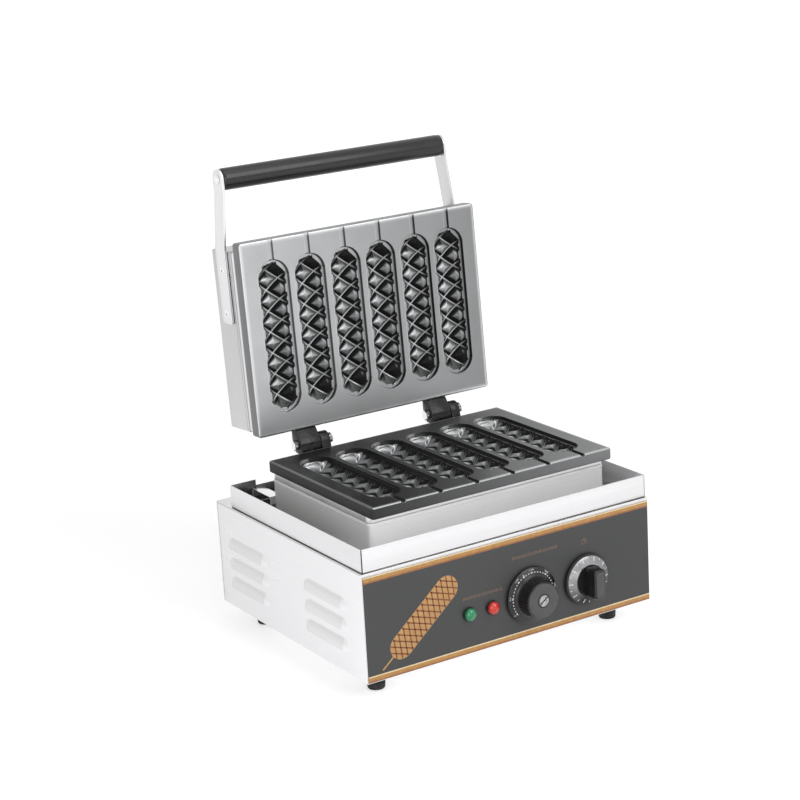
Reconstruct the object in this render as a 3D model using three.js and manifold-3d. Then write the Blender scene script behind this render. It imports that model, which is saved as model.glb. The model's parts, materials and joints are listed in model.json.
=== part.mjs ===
// Hot dog waffle maker: a countertop iron with two six-mould plates, a hinged lid and a control panel.
// Millimetres, +Z up, front towards -Y. The casing is laid out with its front at y = 0 and its
// underside at z = 0, and the lid is laid out closed and then turned open about its hinge pins.

import * as THREE from 'three';
import { mergeVertices } from 'three/addons/utils/BufferGeometryUtils.js';
import Module from 'manifold-3d';

const wasm = await Module();
wasm.setup();

// Casing
const bodyWidth = 400;
const bodyDepth = 340;
const bodyHeight = 130;
const sheet = 1.2;
const returnWidth = 12;
const deckLip = 3;
const panRise = 12;
const panInset = 2;
const ventLength = 60;
const ventWidth = 5;
const ventPitch = 24;
const ventCount = 3;

// Fits between pieces
const gap = 0.3;
const wideGap = 0.6;
const overrun = 5;
const weld = 1e-4;

// Facets
const roundSides = 24;
const turnedSides = 12;
const smallSides = 10;
const screwSides = 8;
const hexSides = 6;
const cornerSteps = 2;
const chamferSteps = 1;

// Side louvres
const louvreLength = 96;
const louvreHeight = 14;
const louvreDepth = 5;
const louvrePitch = 25;
const louvreRows = 3;
const louvreFrontY = 84;
const louvreBackSpace = 74;
const louvreDrop = 52;
const louvreCapSteps = 2;
const louvreSides = 8;

// Control film and what passes through the front panel
const filmThick = 0.5;
const filmGap = 0.1;
const filmMargin = 1;
const dialZ = 51;
const temperatureX = 24;
const timerX = 104;
const lightZ = 49;
const powerLightX = -62;
const heatLightX = -30;
const shaftRadius = 4;
const shaftHoleRadius = 5.5;
const shaftReach = 14;

// Temperature knob, its distances measured out from the front of the film
const skirtRadius = 34.5;
const skirtBack = 2;
const skirtEdge = 3;
const skirtRise = 3.5;
const gripBaseRadius = 23.5;
const gripFaceRadius = 21.5;
const knobReach = 27;
const knobEdge = 2;
const capRadius = 7.7;
const capRecess = 1.2;
const capStand = 0.6;
const capSlot = 1.6;

// Timer knob
const timerRadius = 31.5;
const timerDiscThick = 3;
const timerHubRadius = 19;
const timerHubRise = 5;
const timerBarWidth = 16;
const timerBarLength = 36;
const timerBarCorner = 4;
const timerReach = 30;
const dialOuterRadius = 29;

// Switchgear behind the front panel
const thermostatWidth = 38;
const thermostatDepth = 32;
const thermostatNeckRadius = 7;
const timerCaseRadius = 27;
const timerCaseDepth = 30;
const timerNeckRadius = 8;
const neckRise = 3;

// Pilot lights
const bezelRadius = 8.5;
const bezelThick = 2.2;
const barrelRadius = 5.7;
const barrelLength = 24;
const lensRadius = 6.8;
const lensWall = 2.5;
const lensShoulder = 4.6;
const lensShoulderRise = 6;
const lensTipRadius = 1.2;
const lensReach = 8.5;

// Feet
const footRadius = 12;
const footToeRadius = 11;
const footHeight = 26;
const footSideInset = 34.5;
const footEndInset = 41;
const studRadius = 3;
const studRise = 5;

// Supply terminals and the supply gland in the back panel
const terminalWidth = 58;
const terminalDepth = 20;
const terminalHeight = 16;
const terminalWays = 5;
const terminalSlot = 3;
const terminalSlotDepth = 6;
const terminalBackSpace = 45;
const glandInset = 70;
const glandZ = 32;
const glandNutRadius = 13;
const glandNutThick = 6;
const glandDomeRadius = 9;
const glandDomeReach = 16;
const glandBore = 4;
const glandThreadRadius = 9;
const glandThreadReach = 10;

// Rim round the drip channel
const rimHeight = 28;
const rimBackSpace = 44;
const rimInset = 2;
const rimLowering = 7;
const rimReturn = 35;

// Mould plates: plate, flange and pad
const plateSideSpace = 33;
const plateFront = 24;
const plateBackSpace = 80;
const plateRise = 22;
const plateEdge = 14;
const plateCorner = 3;
const plateBevel = 1;
const plateSteps = 3;
const mouldGap = 1;
const padMargin = 7;
const padCorner = 8;
const padThick = 24;
const probeBossRadius = 4;
const probeBossX = 45;
const probeBossHeight = 10;

// Moulds: a shallow land, a lattice of diamonds sunk in it and a groove for the stick
const mouldCount = 6;
const mouldEndSpace = 17;
const landSpace = 8;
const landEndSpace = 25.5;
const landDepth = 1.2;
const latticeInset = 3.25;
const latticeEndInset = 5.35;
const diamondsAcross = 1.5;
const latticeRows = 7;
const latticeDepth = 12.5;
const diamondTopDepth = 7.5;
const troughOverhang = 1.25;
const latticeGroove = 5.2;
const stickRadius = 2.3;
const stickSides = 6;
const landEndSteps = 3;
const latticeCorner = 11;

// Heater cases under and over the plates
const caseSideInset = 2;
const upperSideInset = 4;
const caseFrontInset = 12;
const caseBackInset = 2;
const caseCorner = 8;
const upperCaseCorner = 3;
const caseInnerCorner = 2;
const caseFlange = 8;
const lowerCaseRise = 41;
const upperRecess = 17;
const upperCaseDepth = 49;
const carrierInset = 1;
const carrierFlange = 5;

// Heating elements, their clamps and the insulation behind them
const elementRadius = 4;
const elementSides = 6;
const elementSteps = 26;
const elementLegs = 4;
const elementMargin = 16;
const clampThick = 2;
const clampInset = 14;
const clampSlotWidth = 18;
const clampSlotCorner = 6;
const insulationThick = 12;
const insulationInset = 6;

// Hinges: the lid's knuckle at the left of each pair, the casing's at the right
const hingeOut = 19;
const hingeRise = 4;
const hingeEndSpace = 70;
const knuckleRadius = 11;
const lidKnuckleWidth = 28;
const baseKnuckleWidth = 13;
const leafThick = 6;
const lowerLeafDrop = 30;
const pinRadius = 4;
const boltHeadRadius = 7;
const boltHeadThick = 5;
const nutThick = 6;
const heelReach = 18;
const heelThick = 7;
const stopNear = 8;
const stopRoot = 28;
const openAngle = THREE.MathUtils.degToRad(94);

// Handle
const armWidth = 24;
const armThick = 3;
const armDepth = 51;
const armLean = 7;
const armKneeSpace = 2;
const armHeadLength = 16;
const armRun = 101;
const gripReach = 73;
const gripRadius = 12.5;
const gripEndRadius = 11;
const gripEndLength = 6;
const rodRadius = 4;
const rivetRadius = 6;
const rivetRise = 1.6;
const armScrewRuns = [89, 36];
const armScrewRadius = 4.5;
const armScrewHead = 2;
const armScrewShank = 2.5;
const armScrewReach = 8;
const armCorner = 3;
const armSteps = 4;

// Stays across the back of the drip channel
const stayWidth = 15;
const stayThick = 1.5;
const stayRise = 18;
const stayFoot = 10;
const stayInset = 31;

// Wire grommets in the deck and in the lid
const grommetRadius = 9;
const grommetBore = 5;
const grommetNeck = 7;
const grommetLip = 2;
const grommetBack = 18;

// Places that follow from the sizes above
const halfWidth = bodyWidth / 2;
const louvreBackY = bodyDepth - louvreBackSpace;
const louvreTopZ = bodyHeight - louvreDrop;
const glandX = halfWidth - glandInset;
const plateWidth = bodyWidth - 2 * plateSideSpace;
const plateLength = bodyDepth - plateFront - plateBackSpace;
const plateBack = plateFront + plateLength;
const lowerCaseTop = bodyHeight + lowerCaseRise;
const plateTop = lowerCaseTop + plateRise;
const rimDepth = plateBack + rimBackSpace;
const hingeY = plateBack + hingeOut;
const hingeZ = plateTop + hingeRise;
const stayZ = bodyHeight + stayRise;
const mouldPitch = (plateWidth - 2 * mouldEndSpace) / mouldCount;
const landWidth = mouldPitch - landSpace;
const landLength = plateLength - 2 * landEndSpace;
const latticeWidth = landWidth - 2 * latticeInset;
const latticeLength = landLength - 2 * latticeEndInset;
const latticeStart = (plateLength - latticeLength) / 2;
const diamondLength = latticeLength / latticeRows;
const troughSpan = latticeWidth + 2 * troughOverhang;
const panelFront = filmThick + filmGap;
const panelBack = panelFront + sheet;
const sideFront = panelBack + gap;
const sideBack = bodyDepth - sheet - gap;
const deckUnder = bodyHeight - sheet;
const panelTop = deckUnder - gap;
const frontTop = bodyHeight - deckLip - gap;
const rimBase = bodyHeight + gap;
const rimTop = bodyHeight + rimHeight;
const lidFace = plateTop + mouldGap;
const caseHalfWidth = plateWidth / 2 - caseSideInset;
const upperHalfWidth = plateWidth / 2 - upperSideInset;
const hingeSpread = caseHalfWidth - hingeEndSpace;
const caseFront = plateFront + caseFrontInset;
const caseBack = plateBack - caseBackInset;
const upperMouth = lidFace + plateEdge + upperRecess;
const upperEnd = upperMouth + upperCaseDepth;
const padHalfWidth = (mouldCount - 1) * mouldPitch / 2 + latticeWidth / 2 + padMargin;
const padStart = latticeStart - padMargin;
const padEnd = latticeStart + latticeLength + padMargin;

// Finishes
const stainless = new THREE.MeshStandardMaterial({ color: 0xd8d8dc, roughness: 0.32, metalness: 0.9 });
const coated = new THREE.MeshStandardMaterial({ color: 0x4a4a4b, roughness: 0.5, metalness: 0.3 });
const castIron = new THREE.MeshStandardMaterial({ color: 0x2b2c2d, roughness: 0.55, metalness: 0.6 });
const brightSteel = new THREE.MeshStandardMaterial({ color: 0xe6e6e8, roughness: 0.2, metalness: 1 });
const blackPlastic = new THREE.MeshStandardMaterial({ color: 0x141415, roughness: 0.4, metalness: 0 });
const blackRubber = new THREE.MeshStandardMaterial({ color: 0x171717, roughness: 0.85, metalness: 0 });
const darkFilm = new THREE.MeshStandardMaterial({ color: 0x4a4b4c, roughness: 0.45, metalness: 0 });
const dialSilver = new THREE.MeshStandardMaterial({ color: 0x9a9a9c, roughness: 0.35, metalness: 0.8 });
const greenLens = new THREE.MeshStandardMaterial({ color: 0x2aa377, roughness: 0.2, metalness: 0 });
const redLens = new THREE.MeshStandardMaterial({ color: 0xe0392c, roughness: 0.2, metalness: 0 });
const ceramicFibre = new THREE.MeshStandardMaterial({ color: 0xe9e4d8, roughness: 0.95, metalness: 0 });
const creamPlastic = new THREE.MeshStandardMaterial({ color: 0xd9d2bd, roughness: 0.6, metalness: 0 });

// Solids from geometries, and geometries from solids
function solidOf(geometry) {
  const bare = geometry.index ? geometry.toNonIndexed() : geometry.clone();
  bare.deleteAttribute('normal');
  bare.deleteAttribute('uv');
  const merged = mergeVertices(bare, weld);
  const corners = merged.index.array;
  const kept = [];
  for (let i = 0; i < corners.length; i += 3) {
    const [a, b, c] = [corners[i], corners[i + 1], corners[i + 2]];
    if (a !== b && b !== c && c !== a) kept.push(a, b, c);
  }
  return new wasm.Manifold(new wasm.Mesh({
    numProp: 3,
    vertProperties: new Float32Array(merged.attributes.position.array),
    triVerts: new Uint32Array(kept),
  }));
}

function geometryOf(solid) {
  const mesh = solid.getMesh();
  const geometry = new THREE.BufferGeometry();
  geometry.setAttribute('position', new THREE.BufferAttribute(mesh.vertProperties, 3));
  geometry.setIndex(new THREE.BufferAttribute(mesh.triVerts, 1));
  geometry.computeVertexNormals();
  return geometry;
}

function moved(solid, x, y, z) {
  const geometry = geometryOf(solid);
  geometry.translate(x, y, z);
  return solidOf(geometry);
}

function piece(name, solid, material) {
  const mesh = new THREE.Mesh(geometryOf(solid), material);
  mesh.name = name;
  return mesh;
}

// Basic solids: a block, outlines run along an axis, rods and revolved profiles
function block([x0, x1], [y0, y1], [z0, z1]) {
  const box = new THREE.BoxGeometry(x1 - x0, y1 - y0, z1 - z0);
  box.translate((x0 + x1) / 2, (y0 + y1) / 2, (z0 + z1) / 2);
  return solidOf(box);
}

function runOutline(shape, length, steps) {
  return new THREE.ExtrudeGeometry(shape, { depth: length, bevelEnabled: false, curveSegments: steps });
}

function alongZ(shape, z0, z1, steps = cornerSteps) {
  const run = runOutline(shape, z1 - z0, steps);
  run.translate(0, 0, z0);
  return solidOf(run);
}

function alongX(shape, x0, x1, steps = cornerSteps) {
  const run = runOutline(shape, x1 - x0, steps);
  const turn = new THREE.Matrix4().makeBasis(
    new THREE.Vector3(0, 1, 0), new THREE.Vector3(0, 0, 1), new THREE.Vector3(1, 0, 0));
  run.applyMatrix4(turn);
  run.translate(x0, 0, 0);
  return solidOf(run);
}

function alongY(shape, y0, y1, steps = cornerSteps) {
  const run = runOutline(shape, y1 - y0, steps);
  const turn = new THREE.Matrix4().makeBasis(
    new THREE.Vector3(1, 0, 0), new THREE.Vector3(0, 0, 1), new THREE.Vector3(0, -1, 0));
  run.applyMatrix4(turn);
  run.translate(0, y1, 0);
  return solidOf(run);
}

function rodX(radius, [x0, x1], y, z, sides = smallSides) {
  const rod = new THREE.CylinderGeometry(radius, radius, x1 - x0, sides);
  rod.rotateZ(Math.PI / 2);
  rod.translate((x0 + x1) / 2, y, z);
  return solidOf(rod);
}

function rodY(radius, x, [y0, y1], z, sides = smallSides) {
  const rod = new THREE.CylinderGeometry(radius, radius, y1 - y0, sides);
  rod.translate(x, (y0 + y1) / 2, z);
  return solidOf(rod);
}

function rodZ(radius, x, y, [z0, z1], sides = smallSides) {
  const rod = new THREE.CylinderGeometry(radius, radius, z1 - z0, sides);
  rod.rotateX(Math.PI / 2);
  rod.translate(x, y, (z0 + z1) / 2);
  return solidOf(rod);
}

// Profile of (radius, height) points that runs from the low end of the axis round to the high end
function revolved(profile, sides = roundSides) {
  return new THREE.LatheGeometry(profile.map(([r, h]) => new THREE.Vector2(r, h)), sides);
}

// Profile of (radius, distance out of the front panel) points, from the panel side outwards
function turnedFromPanel(profile, x, z, sides = roundSides) {
  const geometry = revolved(profile, sides);
  geometry.rotateX(Math.PI);
  geometry.translate(x, 0, z);
  return solidOf(geometry);
}

// Radius of a faceted bore whose flats clear a round piece by the gap
function clearOf(radius, sides = smallSides) {
  return (radius + gap) / Math.cos(Math.PI / sides);
}

function roundedRect([x0, x1], [y0, y1], radius) {
  const shape = new THREE.Shape();
  shape.moveTo(x0 + radius, y0);
  shape.lineTo(x1 - radius, y0);
  shape.absarc(x1 - radius, y0 + radius, radius, -Math.PI / 2, 0);
  shape.lineTo(x1, y1 - radius);
  shape.absarc(x1 - radius, y1 - radius, radius, 0, Math.PI / 2);
  shape.lineTo(x0 + radius, y1);
  shape.absarc(x0 + radius, y1 - radius, radius, Math.PI / 2, Math.PI);
  shape.lineTo(x0, y0 + radius);
  shape.absarc(x0 + radius, y0 + radius, radius, -Math.PI, -Math.PI / 2);
  return shape;
}

function polygon(points) {
  return new THREE.Shape(points.map(([u, v]) => new THREE.Vector2(u, v)));
}

const spread = (half) => [-half, half];

// Casing: two side panels with louvres, front and back panels, bottom pan and deck
function louvreBody(side, y, z, wall) {
  const radius = louvreHeight - wall;
  const straight = louvreLength - 2 * louvreHeight;
  const scoop = new THREE.CapsuleGeometry(radius, straight, louvreCapSteps, louvreSides);
  scoop.scale((louvreDepth - wall) / radius, 1, 1);
  scoop.translate(side * halfWidth, y, z);
  const upper = block(
    [side * halfWidth - louvreDepth - overrun, side * halfWidth + louvreDepth + overrun],
    [y - louvreLength, y + louvreLength], [z, z + louvreHeight + overrun]);
  return solidOf(scoop).intersect(upper);
}

function sidePanel(side) {
  const outer = side * halfWidth;
  const inner = side * (halfWidth - sheet);
  const edge = side * (halfWidth - returnWidth);
  const outline = polygon([
    [outer, sideFront], [edge, sideFront], [edge, sideFront + sheet], [inner, sideFront + sheet],
    [inner, sideBack - sheet], [edge, sideBack - sheet], [edge, sideBack], [outer, sideBack],
  ]);
  let panel = alongZ(outline, 0, panelTop);
  for (const y of [louvreFrontY, louvreBackY]) {
    for (let row = 0; row < louvreRows; row += 1) {
      const z = louvreTopZ - row * louvrePitch;
      panel = panel.add(louvreBody(side, y, z, 0)).subtract(louvreBody(side, y, z, sheet));
    }
  }
  return panel;
}

function frontPanel() {
  return block(spread(halfWidth), [panelFront, panelBack], [0, frontTop]);
}

function controlFilm() {
  return block(spread(halfWidth - filmMargin), [0, filmThick], [filmMargin, frontTop - filmMargin]);
}

function panelHoles(sheetSolid) {
  const span = [-overrun, panelBack + overrun];
  let cut = sheetSolid;
  for (const x of [temperatureX, timerX]) cut = cut.subtract(rodY(shaftHoleRadius, x, span, dialZ));
  for (const x of [powerLightX, heatLightX]) {
    cut = cut.subtract(rodY(clearOf(barrelRadius), x, span, lightZ));
  }
  return cut;
}

function backPanel() {
  const plate = block(spread(halfWidth), [bodyDepth - sheet, bodyDepth], [0, panelTop]);
  const span = [bodyDepth - sheet - overrun, bodyDepth + overrun];
  return plate.subtract(rodY(clearOf(glandThreadRadius), glandX, span, glandZ));
}

function bottomPan() {
  const half = halfWidth - sheet - panInset;
  const front = sideFront + sheet + gap;
  const back = sideBack - sheet - gap;
  const outer = block(spread(half), [front, back], [0, panRise]);
  const hollow = block(spread(half - sheet), [front + sheet, back - sheet], [sheet, panRise + overrun]);
  let pan = outer.subtract(hollow);
  for (const side of [-1, 1]) {
    for (let i = 0; i < ventCount; i += 1) {
      const x = side * halfWidth / 2;
      const y = bodyDepth / 2 + (i - (ventCount - 1) / 2) * ventPitch;
      const slot = roundedRect(
        [x - ventLength / 2, x + ventLength / 2], [y - ventWidth / 2, y + ventWidth / 2], ventWidth / 2);
      pan = pan.subtract(alongZ(slot, -overrun, sheet + overrun, chamferSteps));
    }
  }
  for (const [x, y] of footPlaces()) {
    pan = pan.subtract(rodZ(clearOf(studRadius, screwSides), x, y, [-overrun, sheet + overrun], screwSides));
  }
  return pan;
}

function deck() {
  const plate = block(spread(halfWidth), [0, bodyDepth], [deckUnder, bodyHeight]);
  const lip = block(spread(halfWidth), [0, sheet], [bodyHeight - deckLip, deckUnder + sheet / 2]);
  const opening = roundedRect(
    spread(caseHalfWidth - caseFlange), [caseFront + caseFlange, caseBack - caseFlange], caseCorner);
  const wireHole = rodZ(clearOf(grommetNeck), 0, bodyDepth - grommetBack,
    [deckUnder - overrun, bodyHeight + overrun]);
  return plate.add(lip).subtract(alongZ(opening, deckUnder - overrun, bodyHeight + overrun))
    .subtract(wireHole);
}

function footPlaces() {
  const places = [];
  for (const x of [-halfWidth + footSideInset, halfWidth - footSideInset]) {
    for (const y of [footEndInset, bodyDepth - footEndInset]) places.push([x, y]);
  }
  return places;
}

function foot(x, y) {
  const profile = [
    [0, -footHeight], [footToeRadius, -footHeight], [footRadius, -gap], [studRadius, -gap],
    [studRadius, studRise], [0, studRise],
  ];
  const geometry = revolved(profile, smallSides);
  geometry.rotateX(Math.PI / 2);
  geometry.translate(x, y, 0);
  return solidOf(geometry);
}

// Rim round the drip channel, lower at the back between the hinges
function trayRim() {
  const half = halfWidth - rimInset;
  const outer = block(spread(half), [rimInset, rimDepth], [rimBase, rimTop]);
  const hollow = block(spread(half - sheet), [rimInset + sheet, rimDepth - sheet],
    [rimBase - overrun, rimTop + overrun]);
  const lowered = block(spread(half - rimReturn), [rimDepth - sheet - overrun, rimDepth + overrun],
    [rimTop - rimLowering, rimTop + overrun]);
  return outer.subtract(hollow).subtract(lowered);
}

// Stay from the back of the lower heater case to the lowered back of the rim
function stay(side) {
  const near = caseBack + gap;
  const far = rimDepth - sheet - gap;
  const x = side * (halfWidth - stayInset - stayWidth / 2);
  const span = [x - stayWidth / 2, x + stayWidth / 2];
  const strip = block(span, [near, far], [stayZ - stayThick, stayZ]);
  const nearFoot = block(span, [near, near + stayThick], [stayZ - stayFoot, stayZ - stayThick / 2]);
  const farFoot = block(span, [far - stayThick, far], [stayZ - stayFoot, stayZ - stayThick / 2]);
  return strip.add(nearFoot).add(farFoot);
}

// Heater case: a shell with rounded corners and a flange turned in round its mouth
const lowerOutline = { half: caseHalfWidth, corner: caseCorner };
const upperOutline = { half: upperHalfWidth, corner: upperCaseCorner };

function caseOutline({ half, corner }, inset) {
  const radius = Math.max(corner - inset, caseInnerCorner);
  return roundedRect(spread(half - inset), [caseFront + inset, caseBack - inset], radius);
}

function lowerCase() {
  const outer = alongZ(caseOutline(lowerOutline, 0), rimBase, lowerCaseTop);
  const hollow = alongZ(caseOutline(lowerOutline, sheet), rimBase - overrun, lowerCaseTop - sheet);
  const mouth = alongZ(caseOutline(lowerOutline, caseFlange), rimBase - overrun, lowerCaseTop + overrun);
  return outer.subtract(hollow).subtract(mouth);
}

function upperCase() {
  const outer = alongZ(caseOutline(upperOutline, 0), upperMouth, upperEnd);
  const hollow = alongZ(caseOutline(upperOutline, sheet), upperMouth + sheet, upperEnd - sheet);
  const mouth = alongZ(caseOutline(upperOutline, caseFlange), upperMouth - overrun, upperEnd - sheet);
  let shell = outer.subtract(hollow).subtract(mouth);
  const wireSpan = [caseBack - overrun, caseBack + overrun];
  shell = shell.subtract(rodY(clearOf(grommetNeck), 0, wireSpan, lidGrommetZ()));
  for (const run of armScrewRuns) {
    const y = plateFront + run;
    const span = spread(upperHalfWidth + overrun);
    shell = shell.subtract(rodX(clearOf(armScrewShank, screwSides), span, y, lidFace + armDepth, screwSides));
  }
  return shell;
}

// Carrier frame between a heater case and the flange of its plate
function carrier(outline, caseSide, plateSide) {
  const at = (inset) => caseOutline(outline, carrierInset + inset);
  const [low, high] = [Math.min(caseSide, plateSide), Math.max(caseSide, plateSide)];
  const outer = alongZ(at(0), low, high);
  const plateFlange = Math.sign(plateSide - caseSide) * sheet;
  const hollow = [caseSide - Math.sign(plateFlange) * overrun, plateSide - plateFlange];
  const inner = alongZ(at(sheet), Math.min(...hollow), Math.max(...hollow));
  const mouth = alongZ(at(carrierFlange), low - overrun, high + overrun);
  return outer.subtract(inner).subtract(mouth);
}

// Depth of a mould's trough, which is round across and runs out round at both ends
function troughDepth(x, y, deepest) {
  const spine = (latticeLength - troughSpan) / 2;
  const past = Math.max(Math.abs(y) - spine, 0);
  const share = Math.hypot(x, past) / (troughSpan / 2);
  return share < 1 ? deepest * Math.sqrt(1 - share * share) : 0;
}

// Lattice cutter: grooves cross on two slants and leave diamonds standing between them.
// Its underside has a corner at every crossing of the groove lines, which lie at whole steps of s and
// t, and four more in every cell, where the diamond's flat top begins.
function latticeCutter() {
  const diamondWidth = latticeWidth / diamondsAcross;
  const lineSpacing = diamondWidth * diamondLength / Math.hypot(diamondWidth, diamondLength);
  const edge = latticeGroove / 2 / lineSpacing;
  const reach = Math.ceil(latticeRows / 2) + 1;
  const cells = 2 * reach;
  const positions = [];
  const corner = (s, t, deepest) => {
    const x = diamondWidth * (s - t) / 2 - diamondWidth / 4;
    const y = diamondLength * (s + t + 1) / 2;
    positions.push(x, y, deepest ? -troughDepth(x, y, deepest) - landDepth / 2 : overrun);
    return positions.length / 3 - 1;
  };
  const sheetOf = (deepest) => {
    const rows = [];
    for (let i = 0; i <= cells; i += 1) {
      rows.push(Array.from({ length: cells + 1 }, (_, j) => corner(i - reach, j - reach, deepest)));
    }
    return rows;
  };
  const floor = sheetOf(latticeDepth);
  const roof = sheetOf(0);
  const index = [];
  const quad = (a, b, c, d) => index.push(a, b, c, a, c, d);
  for (let i = 0; i < cells; i += 1) {
    for (let j = 0; j < cells; j += 1) {
      const ends = [[i, j], [i, j + 1], [i + 1, j + 1], [i + 1, j]];
      const low = ends.map(([m, n]) => floor[m][n]);
      const top = ends.map(([m, n]) => corner(
        m - reach + (m === i ? edge : -edge), n - reach + (n === j ? edge : -edge), diamondTopDepth));
      quad(...ends.map(([m, n]) => roof[m][n]).reverse());
      quad(...top);
      for (let k = 0; k < 4; k += 1) quad(low[k], low[(k + 1) % 4], top[(k + 1) % 4], top[k]);
    }
    quad(floor[i][0], floor[i + 1][0], roof[i + 1][0], roof[i][0]);
    quad(floor[i + 1][cells], floor[i][cells], roof[i][cells], roof[i + 1][cells]);
    quad(floor[0][i + 1], floor[0][i], roof[0][i], roof[0][i + 1]);
    quad(floor[cells][i], floor[cells][i + 1], roof[cells][i + 1], roof[cells][i]);
  }
  const geometry = new THREE.BufferGeometry();
  geometry.setAttribute('position', new THREE.BufferAttribute(new Float32Array(positions), 3));
  geometry.setIndex(index);
  const outline = roundedRect(spread(latticeWidth / 2), spread(latticeLength / 2), latticeCorner);
  const mask = alongZ(outline, -latticeDepth - overrun, overrun / 2, chamferSteps);
  return solidOf(geometry).intersect(mask);
}

// One mould's cutter about the middle of its land, with the stick groove out to the front edge
function mouldCutter() {
  const land = roundedRect(spread(landWidth / 2), spread(landLength / 2), landWidth / 2 - weld);
  const landCut = alongZ(land, -landDepth, overrun, landEndSteps);
  const stick = rodY(stickRadius, 0, [-plateLength / 2 - overrun, -latticeLength / 2 + stickRadius], 0,
    stickSides);
  return latticeCutter().add(landCut).add(stick);
}

// Mould plate with its face up at z = 0 and its front edge at y = 0
function mouldPlate() {
  const outline = roundedRect(
    spread(plateWidth / 2 - plateBevel), [plateBevel, plateLength - plateBevel], plateCorner - plateBevel);
  const slab = new THREE.ExtrudeGeometry(outline, {
    depth: plateEdge - 2 * plateBevel, bevelThickness: plateBevel, bevelSize: plateBevel,
    bevelSegments: chamferSteps, curveSegments: plateSteps,
  });
  slab.translate(0, 0, plateBevel - plateEdge);
  const pad = roundedRect(spread(padHalfWidth), [padStart, padEnd], padCorner);
  let plate = solidOf(slab).add(alongZ(pad, -padThick, -plateEdge / 2));
  const cutter = mouldCutter();
  for (let i = 0; i < mouldCount; i += 1) {
    const x = (i - (mouldCount - 1) / 2) * mouldPitch;
    plate = plate.subtract(moved(cutter, x, plateLength / 2, 0));
  }
  return plate;
}

function lowerPlate() {
  const bossSpan = [plateTop - probeBossHeight, plateTop - plateBevel];
  const boss = rodZ(probeBossRadius, probeBossX, plateBack, bossSpan);
  return moved(mouldPlate(), 0, plateFront, plateTop).add(boss);
}

function upperPlate() {
  const geometry = geometryOf(mouldPlate());
  geometry.rotateY(Math.PI);
  geometry.translate(0, plateFront, lidFace);
  return solidOf(geometry);
}

// Heating element: one rod bent back and forth over the pad
class Bend extends THREE.Curve {
  constructor(centre, radius, end) {
    super();
    this.centre = centre;
    this.radius = radius;
    this.end = end;
  }

  getPoint(t, target = new THREE.Vector3()) {
    const angle = Math.PI * (1 - t);
    const across = this.radius * Math.cos(angle);
    const out = this.radius * Math.sin(angle) * this.end;
    return target.set(this.centre.x + across, this.centre.y + out, this.centre.z);
  }
}

function heatingElement(z) {
  const legPitch = 2 * (padHalfWidth - elementMargin) / (elementLegs - 1);
  const bendRadius = legPitch / 2;
  const front = plateFront + padStart + elementMargin + bendRadius;
  const turn = plateFront + padEnd - elementMargin - bendRadius;
  const back = plateFront + padEnd - elementMargin / 2;
  const path = new THREE.CurvePath();
  for (let leg = 0; leg < elementLegs; leg += 1) {
    const x = (leg - (elementLegs - 1) / 2) * legPitch;
    const forward = leg % 2 === 0;
    const from = leg === 0 ? back : forward ? turn : front;
    const to = leg === elementLegs - 1 ? back : forward ? front : turn;
    path.add(new THREE.LineCurve3(new THREE.Vector3(x, from, z), new THREE.Vector3(x, to, z)));
    if (leg < elementLegs - 1) {
      path.add(new Bend(new THREE.Vector3(x + bendRadius, to, z), bendRadius, forward ? -1 : 1));
    }
  }
  const section = new THREE.Shape();
  for (let i = 0; i < elementSides; i += 1) {
    const angle = (i + 0.5) * 2 * Math.PI / elementSides;
    const [u, v] = [elementRadius * Math.cos(angle), elementRadius * Math.sin(angle)];
    if (i === 0) section.moveTo(u, v);
    else section.lineTo(u, v);
  }
  return solidOf(new THREE.ExtrudeGeometry(section, { steps: elementSteps, extrudePath: path }));
}

function elementClamp(z0) {
  const half = padHalfWidth - clampInset;
  const span = [plateFront + padStart + clampInset, plateFront + padEnd - clampInset];
  let clamp = block(spread(half), span, [z0, z0 + clampThick]);
  for (const side of [-1, 1]) {
    const x = side * half / 2;
    const slot = roundedRect([x - clampSlotWidth / 2, x + clampSlotWidth / 2],
      [span[0] + clampSlotWidth, span[1] - clampSlotWidth], clampSlotCorner);
    clamp = clamp.subtract(alongZ(slot, z0 - overrun, z0 + clampThick + overrun, chamferSteps));
  }
  return clamp;
}

function insulation(z0) {
  const span = [plateFront + padStart + insulationInset, plateFront + padEnd - insulationInset];
  return block(spread(padHalfWidth - insulationInset), span, [z0, z0 + insulationThick]);
}

// Stack behind a plate: element, clamp and insulation, going away from the pad
const lowerElementZ = plateTop - padThick - gap - elementRadius;
const lowerClampZ = lowerElementZ - elementRadius - gap - clampThick;
const lowerInsulationZ = lowerClampZ - gap - insulationThick;
const upperElementZ = lidFace + padThick + gap + elementRadius;
const upperClampZ = upperElementZ + elementRadius + gap;
const upperInsulationZ = upperClampZ + clampThick + gap;

// Point where a line from a point touches the round of a knuckle
function touchPoint([y, z], turn) {
  const [dy, dz] = [hingeY - y, hingeZ - z];
  const far = Math.hypot(dy, dz);
  const angle = Math.atan2(dz, dy) + turn * Math.asin(knuckleRadius / far);
  const run = Math.sqrt(far * far - knuckleRadius * knuckleRadius);
  return [y + run * Math.cos(angle), z + run * Math.sin(angle)];
}

function knuckle(span) {
  return rodX(knuckleRadius, span, hingeY, hingeZ, turnedSides);
}

function hingeSpans(side) {
  const start = side * hingeSpread - (lidKnuckleWidth + gap + baseKnuckleWidth) / 2;
  const lidSpan = [start, start + lidKnuckleWidth];
  const baseSpan = [lidSpan[1] + gap, lidSpan[1] + gap + baseKnuckleWidth];
  return { lidSpan, baseSpan };
}

// Lid leaf: a lug on the plate's back edge, its knuckle, and a heel that meets the stop
const leafBack = caseBack + gap + leafThick;
const heelZ = hingeZ - knuckleRadius;

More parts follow.
